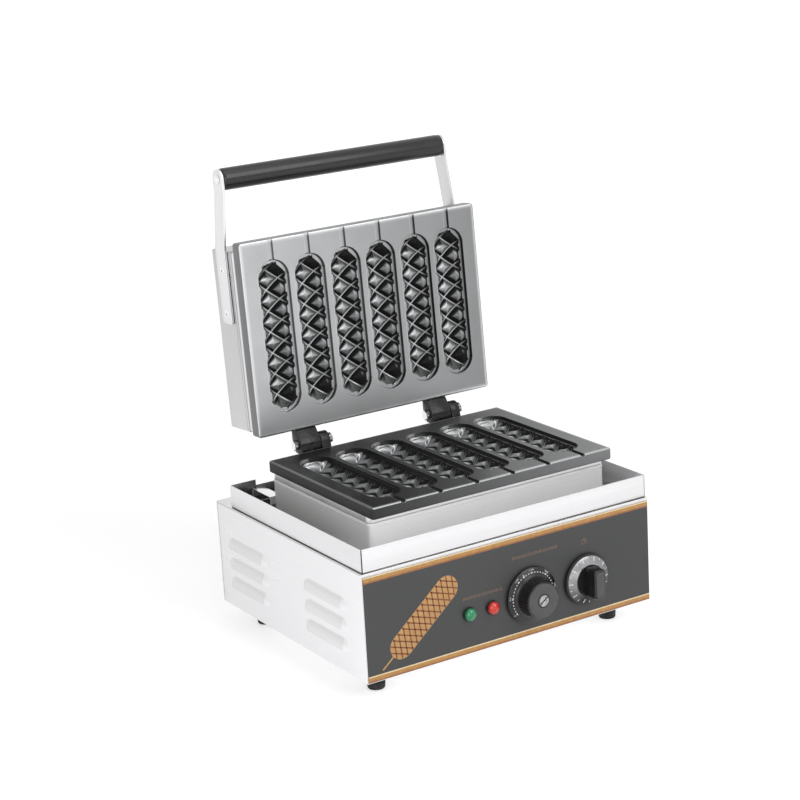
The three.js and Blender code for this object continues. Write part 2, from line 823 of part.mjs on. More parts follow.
function lidLeaf(side) {
  const { lidSpan } = hingeSpans(side);
  const front = plateBack + gap;
  const [low, high] = [lidFace + plateBevel, lidFace + plateEdge];
  const lug = polygon([
    [front, low], touchPoint([front, low], -1), [hingeY, hingeZ], touchPoint([front, high], 1),
    [front, high],
  ]);
  const heel = polygon([
    [hingeY, heelZ], [hingeY + heelReach, heelZ], [hingeY + heelReach, heelZ + heelThick],
    [hingeY, hingeZ],
  ]);
  const bore = rodX(clearOf(pinRadius), [lidSpan[0] - overrun, lidSpan[1] + overrun], hingeY, hingeZ);
  return alongX(lug, ...lidSpan).add(alongX(heel, ...lidSpan)).add(knuckle(lidSpan)).subtract(bore);
}

// Place on the stop's face, a gap off the underside of the heel when the lid is open
function stopPoint(reach) {
  const [dy, dz] = [reach, heelZ - hingeZ - gap];
  return [
    hingeY + dy * Math.cos(openAngle) + dz * Math.sin(openAngle),
    hingeZ - dy * Math.sin(openAngle) + dz * Math.cos(openAngle),
  ];
}

// Casing leaf: a foot on the lower heater case, a knuckle, and a stop for the lid leaf's heel
function baseLeaf(side) {
  const { lidSpan, baseSpan } = hingeSpans(side);
  const whole = [lidSpan[0], baseSpan[1]];
  const footBottom = lowerCaseTop - lowerLeafDrop;
  const front = caseBack + gap;
  const under = plateTop - plateEdge - gap;
  const edge = plateBack + gap;
  const stopTop = stopPoint(stopNear);
  const stop = polygon([
    [front, footBottom], [front, under], [edge, under], [edge, stopTop[1]], stopTop,
    stopPoint(heelReach), [leafBack, footBottom + stopRoot], [leafBack, footBottom],
  ]);
  const neck = polygon([
    [front, footBottom], [front, under], [edge, under], touchPoint([edge, under], 1),
    [hingeY, hingeZ], touchPoint([leafBack, footBottom], -1), [leafBack, footBottom],
  ]);
  const bore = rodX(clearOf(pinRadius), [whole[0] - overrun, whole[1] + overrun], hingeY, hingeZ);
  return alongX(stop, ...whole).add(alongX(neck, ...baseSpan)).add(knuckle(baseSpan)).subtract(bore);
}

function hingePin(side) {
  const { lidSpan, baseSpan } = hingeSpans(side);
  const head = [lidSpan[0] - gap - boltHeadThick, lidSpan[0] - gap];
  const end = baseSpan[1] + gap + nutThick + pinRadius / 2;
  const shank = rodX(pinRadius, [lidSpan[0] - gap - boltHeadThick / 2, end], hingeY, hingeZ);
  return rodX(boltHeadRadius, head, hingeY, hingeZ, hexSides).add(shank);
}

function hingeNut(side) {
  const { baseSpan } = hingeSpans(side);
  const span = [baseSpan[1] + gap, baseSpan[1] + gap + nutThick];
  const bore = rodX(clearOf(pinRadius), [span[0] - overrun, span[1] + overrun], hingeY, hingeZ);
  return rodX(boltHeadRadius, span, hingeY, hingeZ, hexSides).subtract(bore);
}

// Handle: two flat arms on the upper heater case, a grip between them and a riveted rod through it
const gripY = plateFront - gripReach;
const armZ = lidFace + armDepth;
const armInner = upperHalfWidth + gap;
const armOuter = armInner + armThick;
const kneeY = caseFront - armKneeSpace;
const headY = gripY + armHeadLength;

// Each arm lies on the case's side, leans in above it and ends upright at the grip
function handleArm(side) {
  const half = armWidth / 2;
  const lowY = plateFront + armRun;
  const outline = new THREE.Shape();
  outline.moveTo(gripY, armZ - half);
  outline.lineTo(lowY - armCorner, armZ - half);
  outline.absarc(lowY - armCorner, armZ - half + armCorner, armCorner, -Math.PI / 2, 0);
  outline.lineTo(lowY, armZ + half - armCorner);
  outline.absarc(lowY - armCorner, armZ + half - armCorner, armCorner, 0, Math.PI / 2);
  outline.lineTo(gripY, armZ + half);
  outline.absarc(gripY, armZ, half, Math.PI / 2, -Math.PI / 2);
  const bent = polygon([
    [armInner, lowY + overrun], [armInner, kneeY], [armInner - armLean, headY],
    [armInner - armLean, gripY - armWidth], [armOuter - armLean, gripY - armWidth],
    [armOuter - armLean, headY], [armOuter, kneeY], [armOuter, lowY + overrun],
  ].map(([x, y]) => [side * x, y]));
  const strip = alongZ(bent, armZ - armWidth, armZ + armWidth);
  const past = spread(armOuter + overrun);
  let arm = alongX(outline, ...past, armSteps).intersect(strip)
    .subtract(rodX(clearOf(rodRadius), past, gripY, armZ));
  for (const run of armScrewRuns) arm = arm.subtract(screwHole(side, run));
  return arm;
}

// Countersunk hole of an arm screw, with its clearance
function screwHole(side, run) {
  const [shank, head] = [clearOf(armScrewShank, screwSides), clearOf(armScrewRadius, screwSides)];
  const profile = [
    [0, armInner - overrun], [shank, armInner - overrun], [shank, armOuter - armScrewHead], [head, armOuter],
    [head, armOuter + overrun], [0, armOuter + overrun],
  ];
  const geometry = revolved(profile, screwSides);
  geometry.rotateZ(-side * Math.PI / 2);
  geometry.translate(0, plateFront + run, armZ);
  return solidOf(geometry);
}

function handleGrip() {
  const half = armInner - armLean - wideGap;
  const bore = clearOf(rodRadius, turnedSides);
  const profile = [
    [bore, -half], [gripEndRadius, -half], [gripRadius, gripEndLength - half],
    [gripRadius, half - gripEndLength], [gripEndRadius, half], [bore, half], [bore, -half],
  ];
  const geometry = revolved(profile, turnedSides);
  geometry.rotateZ(Math.PI / 2);
  geometry.translate(0, gripY, armZ);
  return solidOf(geometry);
}

function handleRod() {
  const rivet = armOuter - armLean + gap;
  const profile = [
    [0, -rivet - rivetRise], [rivetRadius / 2, -rivet - rivetRise], [rivetRadius, -rivet],
    [rodRadius, -rivet], [rodRadius, rivet], [rivetRadius, rivet],
    [rivetRadius / 2, rivet + rivetRise], [0, rivet + rivetRise],
  ];
  const geometry = revolved(profile, smallSides);
  geometry.rotateZ(Math.PI / 2);
  geometry.translate(0, gripY, armZ);
  return solidOf(geometry);
}

function armScrew(side, run) {
  const end = armOuter - armScrewReach;
  const profile = [
    [0, end], [armScrewShank, end], [armScrewShank, armOuter - armScrewHead], [armScrewRadius, armOuter],
    [0, armOuter],
  ];
  const geometry = revolved(profile, screwSides);
  geometry.rotateZ(-side * Math.PI / 2);
  geometry.translate(0, plateFront + run, armZ);
  return solidOf(geometry);
}

// Grommets, turned about Z and laid on their hole's axis
function grommetProfile(wall) {
  return [
    [grommetBore, -grommetLip], [grommetRadius, -grommetLip], [grommetRadius, -gap], [grommetNeck, -gap],
    [grommetNeck, wall + gap], [grommetRadius, wall + gap], [grommetRadius, wall + grommetLip],
    [grommetBore, wall + grommetLip], [grommetBore, -grommetLip],
  ];
}

function deckGrommet() {
  const geometry = revolved(grommetProfile(sheet), smallSides);
  geometry.rotateX(Math.PI / 2);
  geometry.translate(0, bodyDepth - grommetBack, deckUnder);
  return solidOf(geometry);
}

function lidGrommetZ() {
  return upperEnd - grommetRadius - grommetBack;
}

function lidGrommet() {
  const geometry = revolved(grommetProfile(sheet), smallSides);
  geometry.translate(0, caseBack - sheet, lidGrommetZ());
  return solidOf(geometry);
}

// Temperature knob, its cap and its shaft
function temperatureKnob() {
  const bore = shaftRadius + gap;
  const rim = skirtBack + skirtEdge;
  const gripFoot = rim + skirtRise;
  const profile = [
    [0, shaftReach], [bore, shaftReach], [bore, skirtBack], [skirtRadius, skirtBack], [skirtRadius, rim],
    [gripBaseRadius, gripFoot], [gripFaceRadius, knobReach - knobEdge],
    [gripFaceRadius - knobEdge, knobReach], [capRadius + gap, knobReach],
    [capRadius + gap, knobReach - capRecess], [0, knobReach - capRecess],
  ];
  return turnedFromPanel(profile, temperatureX, dialZ);
}

function temperatureCap() {
  const base = knobReach - capRecess + gap;
  const top = knobReach + capStand;
  const disc = turnedFromPanel([
    [0, base], [capRadius, base], [capRadius, knobReach], [capRadius - capStand, top], [0, top],
  ], temperatureX, dialZ, turnedSides);
  const slot = block([temperatureX - capRadius, temperatureX + capRadius], [-top - overrun, -knobReach],
    [dialZ - capSlot / 2, dialZ + capSlot / 2]);
  return disc.subtract(slot);
}

function shaft(x, from) {
  return rodY(shaftRadius, x, [gap - shaftReach, from - gap], dialZ);
}

// Timer knob: a disc, a hub and an upright bar, with a bright dial ring round the hub
function timerKnob() {
  const bore = shaftRadius + gap;
  const discFront = skirtBack + timerDiscThick;
  const hubFront = discFront + timerHubRise;
  const body = turnedFromPanel([
    [0, shaftReach], [bore, shaftReach], [bore, skirtBack], [timerRadius, skirtBack],
    [timerRadius, discFront], [timerHubRadius, discFront], [timerHubRadius, hubFront], [0, hubFront],
  ], timerX, dialZ);
  const bar = roundedRect([timerX - timerBarWidth / 2, timerX + timerBarWidth / 2],
    [dialZ - timerBarLength / 2, dialZ + timerBarLength / 2], timerBarCorner);
  const bored = rodY(bore, timerX, [-shaftReach, 0], dialZ);
  return body.add(alongY(bar, -timerReach, -discFront)).subtract(bored);
}

function timerDial() {
  const seat = skirtBack + timerDiscThick + gap;
  const front = seat + timerHubRise - gap;
  const inner = timerHubRadius + gap;
  const profile = [
    [inner, seat], [dialOuterRadius, seat], [dialOuterRadius, seat + capStand], [inner + capStand, front],
    [inner, front], [inner, seat],
  ];
  return turnedFromPanel(profile, timerX, dialZ);
}

// Switchgear: thermostat, timer, pilot lights, terminals and supply gland
function thermostat() {
  const front = panelBack + neckRise;
  const half = thermostatWidth / 2;
  const box = block([temperatureX - half, temperatureX + half], [front, front + thermostatDepth],
    [dialZ - half, dialZ + half]);
  const neck = rodY(thermostatNeckRadius, temperatureX, [panelBack + gap, front + neckRise], dialZ);
  return box.add(neck).subtract(shaftBore(temperatureX, front));
}

function timerCase() {
  const front = panelBack + neckRise;
  const drum = rodY(timerCaseRadius, timerX, [front, front + timerCaseDepth], dialZ, turnedSides);
  const neck = rodY(timerNeckRadius, timerX, [panelBack + gap, front + neckRise], dialZ);
  return drum.add(neck).subtract(shaftBore(timerX, front));
}

function shaftBore(x, front) {
  return rodY(clearOf(shaftRadius), x, [-overrun, front + shaftReach], dialZ);
}

function lightBody(x) {
  return turnedFromPanel([
    [0, -barrelLength], [barrelRadius, -barrelLength], [barrelRadius, gap], [bezelRadius, gap],
    [bezelRadius, bezelThick], [0, bezelThick],
  ], x, lightZ, turnedSides);
}

function lightLens(x) {
  const seat = bezelThick + gap;
  return turnedFromPanel([
    [0, seat], [lensRadius, seat], [lensRadius, seat + lensWall], [lensShoulder, lensShoulderRise],
    [lensTipRadius, lensReach], [0, lensReach],
  ], x, lightZ, turnedSides);
}

function terminalBlock() {
  const back = bodyDepth - terminalBackSpace;
  const base = sheet + gap;
  let strip = block(spread(terminalWidth / 2), [back - terminalDepth, back], [base, base + terminalHeight]);
  const wayPitch = terminalWidth / terminalWays;
  for (let i = 1; i < terminalWays; i += 1) {
    const x = i * wayPitch - terminalWidth / 2;
    strip = strip.subtract(block([x - terminalSlot / 2, x + terminalSlot / 2],
      [back - terminalDepth - overrun, back + overrun],
      [base + terminalHeight - terminalSlotDepth, base + terminalHeight + overrun]));
  }
  return strip;
}

function supplyGland() {
  const profile = [
    [glandBore, -glandThreadReach], [glandThreadRadius, -glandThreadReach], [glandThreadRadius, gap],
    [glandNutRadius, gap], [glandNutRadius, glandNutThick], [glandDomeRadius, glandNutThick],
    [glandDomeRadius, glandDomeReach - glandBore], [glandDomeRadius - glandBore / 2, glandDomeReach],
    [glandBore, glandDomeReach], [glandBore, -glandThreadReach],
  ];
  const geometry = revolved(profile, smallSides);
  geometry.translate(glandX, bodyDepth, glandZ);
  return solidOf(geometry);
}

// Fixed pieces
const base = new THREE.Group();
base.add(
  piece('left_side_panel', sidePanel(-1), stainless),
  piece('right_side_panel', sidePanel(1), stainless),
  piece('front_panel', panelHoles(frontPanel()), stainless),
  piece('control_film', panelHoles(controlFilm()), darkFilm),
  piece('back_panel', backPanel(), stainless),
  piece('bottom_pan', bottomPan(), stainless),
  piece('deck', deck(), stainless),
  piece('tray_rim', trayRim(), stainless),
  piece('left_stay', stay(-1), brightSteel),
  piece('right_stay', stay(1), brightSteel),
  piece('lower_heater_case', lowerCase(), stainless),
  piece('lower_carrier_frame', carrier(lowerOutline, lowerCaseTop + gap, plateTop - plateEdge - gap),
    stainless),
  piece('lower_mould_plate', lowerPlate(), coated),
  piece('lower_heating_element', heatingElement(lowerElementZ), castIron),
  piece('lower_element_clamp', elementClamp(lowerClampZ), stainless),
  piece('lower_insulation', insulation(lowerInsulationZ), ceramicFibre),
  piece('thermostat', thermostat(), creamPlastic),
  piece('timer_clockwork', timerCase(), brightSteel),
  piece('power_light_body', lightBody(powerLightX), blackPlastic),
  piece('power_light_lens', lightLens(powerLightX), greenLens),
  piece('heat_light_body', lightBody(heatLightX), blackPlastic),
  piece('heat_light_lens', lightLens(heatLightX), redLens),
  piece('terminal_block', terminalBlock(), creamPlastic),
  piece('supply_gland', supplyGland(), blackPlastic),
  piece('deck_grommet', deckGrommet(), blackRubber),
);
const footNames = ['front_left_foot', 'back_left_foot', 'front_right_foot', 'back_right_foot'];
footPlaces().forEach(([x, y], i) => base.add(piece(footNames[i], foot(x, y), blackRubber)));
for (const [side, word] of [[-1, 'left'], [1, 'right']]) {
  base.add(
    piece(`${word}_hinge_base_leaf`, baseLeaf(side), castIron),
    piece(`${word}_hinge_pin`, hingePin(side), brightSteel),
    piece(`${word}_hinge_nut`, hingeNut(side), brightSteel),
  );
}

// Knobs with their shafts
const knobs = new THREE.Group();
knobs.add(
  piece('temperature_knob', temperatureKnob(), blackPlastic),
  piece('temperature_cap', temperatureCap(), brightSteel),
  piece('temperature_shaft', shaft(temperatureX, panelBack + neckRise + shaftReach), brightSteel),
  piece('timer_knob', timerKnob(), blackPlastic),
  piece('timer_dial', timerDial(), dialSilver),
  piece('timer_shaft', shaft(timerX, panelBack + neckRise + shaftReach), brightSteel),
);

// Lid, laid out closed
const lid = new THREE.Group();
lid.add(
  piece('upper_mould_plate', upperPlate(), coated),
  piece('upper_carrier_frame', carrier(upperOutline, upperMouth - gap, lidFace + plateEdge + gap),
    stainless),
  piece('upper_heater_case', upperCase(), stainless),
  piece('upper_heating_element', heatingElement(upperElementZ), castIron),
  piece('upper_element_clamp', elementClamp(upperClampZ), stainless),
  piece('upper_insulation', insulation(upperInsulationZ), ceramicFibre),
  piece('lid_grommet', lidGrommet(), blackRubber),
  piece('handle_grip', handleGrip(), blackPlastic),
  piece('handle_rod', handleRod(), brightSteel),
);
for (const [side, word] of [[-1, 'left'], [1, 'right']]) {
  lid.add(
    piece(`${word}_hinge_lid_leaf`, lidLeaf(side), castIron),
    piece(`${word}_handle_arm`, handleArm(side), stainless),
  );
  armScrewRuns.forEach((run, i) => {
    lid.add(piece(`${word}_${['lower', 'upper'][i]}_arm_screw`, armScrew(side, run), brightSteel));
  });
}

// The lid turned open about its pins
const opened = new THREE.Group();
lid.position.set(0, -hingeY, -hingeZ);
opened.rotation.x = -openAngle;
opened.position.set(0, hingeY, hingeZ);
opened.add(lid);

// The whole, with the middle of its footprint at the origin and its feet on z = 0
const machine = new THREE.Group();
machine.add(base, knobs, opened);
machine.updateMatrixWorld(true);
const extent = new THREE.Box3().setFromObject(machine, true);
machine.position.set(
  -(extent.min.x + extent.max.x) / 2, -(extent.min.y + extent.max.y) / 2, -extent.min.z);

const waffleMaker = new THREE.Group();
waffleMaker.add(machine);

export default waffleMaker;
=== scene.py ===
"""Looks of a hot dog waffle maker, laid out as an add-on and run as a script.

Shapes are drawn in millimetres as the casing is laid out: its front at y = 0, its underside at z = 0.
The lid's shapes are drawn closed and then turned open about its pins. Piece places come from the frame.
"""

import json
import math

import bmesh
import bpy
import numpy as np
from bpy.props import FloatProperty, FloatVectorProperty, IntProperty, PointerProperty
from bpy.types import Operator, Panel, PropertyGroup
from mathutils import Matrix, Vector

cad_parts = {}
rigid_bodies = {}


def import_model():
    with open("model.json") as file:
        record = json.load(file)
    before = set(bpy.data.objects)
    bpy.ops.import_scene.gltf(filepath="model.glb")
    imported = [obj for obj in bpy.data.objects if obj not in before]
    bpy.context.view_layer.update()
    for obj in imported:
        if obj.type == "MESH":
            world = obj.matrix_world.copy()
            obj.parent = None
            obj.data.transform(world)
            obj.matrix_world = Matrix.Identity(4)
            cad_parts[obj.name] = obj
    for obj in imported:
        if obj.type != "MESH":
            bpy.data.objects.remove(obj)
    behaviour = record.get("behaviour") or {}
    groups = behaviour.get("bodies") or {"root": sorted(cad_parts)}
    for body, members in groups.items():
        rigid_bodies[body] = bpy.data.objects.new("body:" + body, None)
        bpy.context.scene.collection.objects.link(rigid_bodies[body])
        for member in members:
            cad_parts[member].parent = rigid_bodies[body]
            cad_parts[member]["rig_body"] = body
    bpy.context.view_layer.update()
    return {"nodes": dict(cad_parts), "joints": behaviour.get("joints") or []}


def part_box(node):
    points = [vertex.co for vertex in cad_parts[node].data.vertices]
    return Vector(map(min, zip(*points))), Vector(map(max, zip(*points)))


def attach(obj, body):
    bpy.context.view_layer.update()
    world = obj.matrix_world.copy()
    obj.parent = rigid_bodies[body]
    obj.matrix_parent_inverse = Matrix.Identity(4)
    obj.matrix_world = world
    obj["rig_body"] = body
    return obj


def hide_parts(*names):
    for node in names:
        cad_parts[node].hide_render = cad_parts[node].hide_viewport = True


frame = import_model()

bl_info = {
    "name": "Hot Dog Waffle Maker",
    "version": (1, 0, 0),
    "blender": (4, 5, 0),
    "location": "View3D > Sidebar > Waffle Maker",
    "description": "Builds the pieces and finishes of a hot dog waffle maker on its packed frame",
    "category": "Add Mesh",
}

MM = 0.001
TINY = 0.02
CREASE = 38
NEARLY_NONE = 1e-6
LEAST_CORNER = 0.6
MITRE_LIMIT = 0.35
FILLET_STEPS = 2
SIDES_PER_FILLET = 2.2

# Where layouts go: the casing's is moved into place, the lid's is turned open as well
lid_joint = next(joint for joint in frame["joints"] if joint["name"] == "lid_hinge")
pin_place = Vector(lid_joint["pos_m"])
open_angle = math.radians(max(lid_joint["range_deg"]))
LAID_OUT = (Matrix.Translation((0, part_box("deck")[0].y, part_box("left_side_panel")[0].z))
            @ Matrix.Scale(MM, 4))
OPENED = (Matrix.Translation(pin_place) @ Matrix.Rotation(-open_angle, 4, "X")
          @ Matrix.Translation(-pin_place) @ LAID_OUT)
PIN = LAID_OUT.inverted() @ pin_place

# Turns that lay a shape's own Z along another axis
OUT_OF_PANEL = Matrix.Rotation(math.pi / 2, 4, "X")
ALONG_X = Matrix.Rotation(math.pi / 2, 4, "Y")
INTO_BACK = Matrix.Rotation(-math.pi / 2, 4, "X")
FLIPPED = Matrix.Rotation(math.pi, 4, "Y")


def place_of(node):
    """Matrix that takes a node's layout to its place."""
    return OPENED if frame["nodes"][node]["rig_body"] == "lid" else LAID_OUT


def laid_box(node):
    """Lowest and highest corner of a CAD node as laid out, in millimetres."""
    back = place_of(node).inverted()
    points = [back @ vertex.co for vertex in frame["nodes"][node].data.vertices]
    return Vector(map(min, *points)), Vector(map(max, *points))


def middle(node):
    """Middle of a CAD node as laid out."""
    low, high = laid_box(node)
    return (low + high) / 2


def mm(length):
    """A length in metres as millimetres."""
    return length / MM


# Shapes: each is a list of points and a list of faces
def loft(rings, closed=False):
    """Skin over rings of equal count, capped at both ends or closed on itself."""
    count = len(rings[0])
    points = [tuple(point) for ring in rings for point in ring]
    pairs = [(i, i + 1) for i in range(len(rings) - 1)]
    if closed:
        pairs.append((len(rings) - 1, 0))
    faces = [(a * count + i, a * count + (i + 1) % count, b * count + (i + 1) % count, b * count + i)
             for a, b in pairs for i in range(count)]
    if not closed:
        faces.append(tuple(reversed(range(count))))
        faces.append(tuple(range(len(points) - count, len(points))))
    return points, faces


def joined(*shapes):
    """Several shapes as one."""
    points, faces = [], []
    for more_points, more_faces in shapes:
        faces += [tuple(i + len(points) for i in face) for face in more_faces]
        points += list(more_points)
    return points, faces


def moved(shape, matrix, offset=(0, 0, 0)):
    """A shape turned by a matrix and then shifted."""
    points, faces = shape
    return [tuple(matrix @ Vector(point) + Vector(offset)) for point in points], faces


def shifted(shape, offset):
    """A shape moved without a turn."""
    return moved(shape, Matrix.Identity(4), offset)


def spun(shape, angle):
    """A shape turned about Z."""
    return moved(shape, Matrix.Rotation(angle, 4, "Z"))


def polar(radius, angle):
    """A point at a distance from the middle, in a direction in radians."""
    return radius * math.cos(angle), radius * math.sin(angle)


def circle(radius, sides, lobes, depth):
    """Ring of points, with as many flutes as lobes."""
    angles = [2 * math.pi * i / sides for i in range(sides)]
    radii = [radius - depth * (1 - math.cos(lobes * angle)) / 2 for angle in angles]
    return [polar(r, a) for r, a in zip(radii, angles)]


def lathe(profile, sides, closed=False, lobes=0, fluted=()):
    """Solid turned about Z from (radius, height) points, some of them with flutes of a given depth."""
    depths = dict(fluted)
    rings = []
    for i, (radius, height) in enumerate(profile):
        ring = circle(max(radius, TINY), sides, lobes if i in depths else 0, depths.get(i, 0))
        rings.append([(x, y, height) for x, y in ring])
    return loft(rings, closed)


def rounded_loop(x0, x1, y0, y1, radius, steps=6):
    """Rectangle with round corners, anticlockwise."""
    corners = ((x1 - radius, y0 + radius, -90), (x1 - radius, y1 - radius, 0),
               (x0 + radius, y1 - radius, 90), (x0 + radius, y0 + radius, 180))
    loop = []
    for x, y, start in corners:
        for i in range(steps + 1):
            angle = math.radians(start + 90 * i / steps)
            loop.append((x + radius * math.cos(angle), y + radius * math.sin(angle)))
    return loop


def frame_run(low, high, corner, profile, closed=True):
    """A rounded rectangle carried along a profile of (inset, height) points."""
    rings = []
    for inset, height in profile:
        loop = rounded_loop(low[0] + inset, high[0] - inset, low[1] + inset, high[1] - inset,
                            max(corner - inset, LEAST_CORNER))
        rings.append([(x, y, height) for x, y in loop])
    return loft(rings, closed)


def corners_of(outline):
    """Each corner of an outline, with the one before and the one after it."""
    count = len(outline)
    return [[Vector(outline[j % count]) for j in (i - 1, i, i + 1)] for i in range(count)]


def inset_outline(outline, distance):
    """An anticlockwise outline moved inwards."""
    inner = []
    for before, here, after in corners_of(outline):
        first, second = (here - before).normalized(), (after - here).normalized()
        normal_a, normal_b = Vector((-first.y, first.x)), Vector((-second.y, second.x))
        bisector = normal_a + normal_b
        if bisector.length < NEARLY_NONE:
            bisector = normal_a
        bisector.normalize()
        inner.append(tuple(here + bisector * (distance / max(bisector.dot(normal_a), MITRE_LIMIT))))
    return inner


def mirrored(profile):
    """A profile and its mirror image over the middle of its axis."""
    return profile + [(radius, -along) for radius, along in reversed(profile)]


def offset_from(radius, height, steps):
    """A profile given by its steps from a radius and a height."""
    return [(radius + out, height + up) for out, up in steps]


def stacked(outline, profile):
    """An outline carried along a profile of (inset, height) points."""
    return loft([[(x, y, z) for x, y in inset_outline(outline, inset)] for inset, z in profile])


def prism(outline, depth, edge):
    """An outline run along Z, with both rims rounded."""
    half = edge * (1 - math.sqrt(0.5))
    return stacked(outline, ((edge, 0), (half, half), (0, edge),
                             (0, depth - edge), (half, depth - half), (edge, depth)))


def slab(low, high, edge=0.4):
    """A block between two corners with its edges eased."""
    loop = rounded_loop(low[0], high[0], low[1], high[1], edge, 3)
    return shifted(prism(loop, high[2] - low[2], edge), (0, 0, low[2]))


def driver_cross(reach, wide, low, high, edge):
    """Two crossed blocks, as in a screw's head."""
    return joined(slab((-reach, -wide, low), (reach, wide, high), edge),
                  slab((-wide, -reach, low), (wide, reach, high), edge))


def filleted(outline, radius):
    """An outline with every corner rounded."""
    loop = []
    for before, here, after in corners_of(outline):
        back, on = before - here, after - here
        reach = min(radius, back.length / SIDES_PER_FILLET, on.length / SIDES_PER_FILLET)
        start, end = here + back.normalized() * reach, here + on.normalized() * reach
        for k in range(FILLET_STEPS + 1):
            t = k / FILLET_STEPS
            loop.append(tuple(start.lerp(here, t).lerp(here.lerp(end, t), t)))
    return loop


def run_along_x(outline, x0, x1, edge):
    """An outline in (y, z) run from x0 to x1."""
    points, faces = prism(outline, x1 - x0, edge)
    return [(x0 + depth, y, z) for y, z, depth in points], faces


def add_piece(name, shape, finish, body, replaces=(), crease=CREASE, soot=None):
    """Puts a shape into the scene as a piece on a body. Painted shade is a darkening painted at each
    point.
    """
    points, faces = shape
    mesh = bpy.data.meshes.new(name)
    mesh.from_pydata(points, [], faces)
    mesh.transform(OPENED if body == "lid" else LAID_OUT)
    work = bmesh.new()
    work.from_mesh(mesh)
    bmesh.ops.recalc_face_normals(work, faces=work.faces)
    work.to_mesh(mesh)
    work.free()
    mesh.shade_smooth()
    mesh.set_sharp_from_angle(angle=math.radians(crease))
    mesh.materials.append(finish_of(finish))
    if soot is not None:
        # painted shade is laid on the points as an attribute that the finishes read
        mesh.attributes.new("soot", "FLOAT", "POINT").data.foreach_set("value", soot)
    piece = bpy.data.objects.new(name, mesh)
    bpy.context.scene.collection.objects.link(piece)
    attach(piece, body)
    if replaces:
        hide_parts(*replaces)


# Finishes
def linear(hex_colour):
    """A written colour as the shader's own values."""
    parts = [int(hex_colour[i:i + 2], 16) / 255 for i in (0, 2, 4)]
    return tuple(c / 12.92 if c <= 0.04045 else ((c + 0.055) / 1.055) ** 2.4 for c in parts)


def feed(tree, node, values):
    """Gives sockets of a node, named with _ for each space, their sources or plain values."""
    for name, value in values.items():
        socket = node.inputs[name.replace("_", " ") if isinstance(name, str) else name]
        if isinstance(value, bpy.types.NodeSocket):
            tree.links.new(value, socket)
        else:
            socket.default_value = value


def calculated(tree, operation, *values):
    """What the shader works out from sources and plain numbers."""
    node = tree.nodes.new("ShaderNodeMath")
    node.operation = operation
    feed(tree, node, dict(enumerate(values)))
    return node.outputs[0]


def seen_directly(tree):
    """1 for rays from the camera, off gloss or through glass, else 0."""
    path = tree.nodes.new("ShaderNodeLightPath").outputs
    seen = calculated(tree, "MAXIMUM", path["Is Camera Ray"], path["Is Glossy Ray"])
    return calculated(tree, "MAXIMUM", seen, path["Is Transmission Ray"])


# Sockets of a colour mix, which share their names with others
MIX_SHARE, MIX_FIRST, MIX_SECOND, MIX_RESULT = 0, 6, 7, 2


class Finish:
    """A material in the making: its nodes, and what drives its sockets."""

    def __init__(self, name, colour, metallic=0.0, **sockets):
        self.material = bpy.data.materials.new(name)
        self.material.use_nodes = True
        self.tree = self.material.node_tree
        self.shader = self.tree.nodes["Principled BSDF"]
        self.colour = colour
        self.drive(Base_Color=(*colour, 1), Metallic=metallic, **sockets)

    def drive(self, **values):
        feed(self.tree, self.shader, values)

    def node(self, kind, **values):
        made = self.tree.nodes.new(kind)
        feed(self.tree, made, values)
        return made

    def place(self):
        """The piece's own coordinates."""
        return self.node("ShaderNodeTexCoord").outputs["Object"]

    def noise(self, scale, detail=3, stretch=(1, 1, 1)):
        """Noise in the piece's own coordinates, stretched by a scale on each axis."""
        mapping = self.node("ShaderNodeMapping", Vector=self.place(), Scale=stretch)
        return self.node("ShaderNodeTexNoise", Vector=mapping.outputs["Vector"], Scale=scale,
                         Detail=detail).outputs["Fac"]

    def between(self, source, low, high, start=0.3, end=0.7):
        """Maps a source to a range."""
        return self.node("ShaderNodeMapRange", Value=source, From_Min=start, From_Max=end,
                         To_Min=low, To_Max=high).outputs["Result"]

    def distance(self):
        """How far a place is from the origin."""
        length = self.node("ShaderNodeVectorMath", Vector=self.place())
        length.operation = "LENGTH"
        return length.outputs["Value"]

    def coordinate(self, axis):
        """One of the piece's own coordinates."""
        return self.node("ShaderNodeSeparateXYZ", Vector=self.place()).outputs[axis]

    def inside(self, axis, low, high):
        """1 where a coordinate of the piece lies in a range, else 0."""
        middle_of, half = (low + high) / 2, (high - low) / 2
        return calculated(self.tree, "COMPARE", self.coordinate(axis), middle_of, half)

    def rough(self, source, low, high):
        self.drive(Roughness=self.between(source, low, high))

    def mix(self, share, first, second):
        """Makes the base colour of two others, each a source or plain."""
        mix = self.tree.nodes.new("ShaderNodeMix")
        mix.data_type = "RGBA"
        feed(self.tree, mix, {MIX_SHARE: share, MIX_FIRST: first, MIX_SECOND: second})
        self.drive(Base_Color=mix.outputs[MIX_RESULT])
        return mix.outputs[MIX_RESULT]

    def tint(self, source, other):
        """Mixes the finish's colour with another by a source."""
        return self.mix(self.between(source, 0, 1), (*self.colour, 1), (*other, 1))

    def darken(self, colour, dark):
        """Turns a colour into a dark one where the piece's painted shade is thick."""
        reader = self.tree.nodes.new("ShaderNodeAttribute")
        reader.attribute_name = "soot"
        self.mix(reader.outputs["Fac"], colour, (*dark, 1))
        return reader.outputs["Fac"]

    def bump(self, source, distance, strength):
        bump = self.node("ShaderNodeBump", Height=source, Strength=strength, Distance=distance)
        self.drive(Normal=bump.outputs["Normal"])


def shade(colour, factor):
    return tuple(min(1.0, channel * factor) for channel in colour)


def setting(name):
    """A colour that the user can change."""
    return tuple(getattr(bpy.context.scene.waffle_finishes, name))


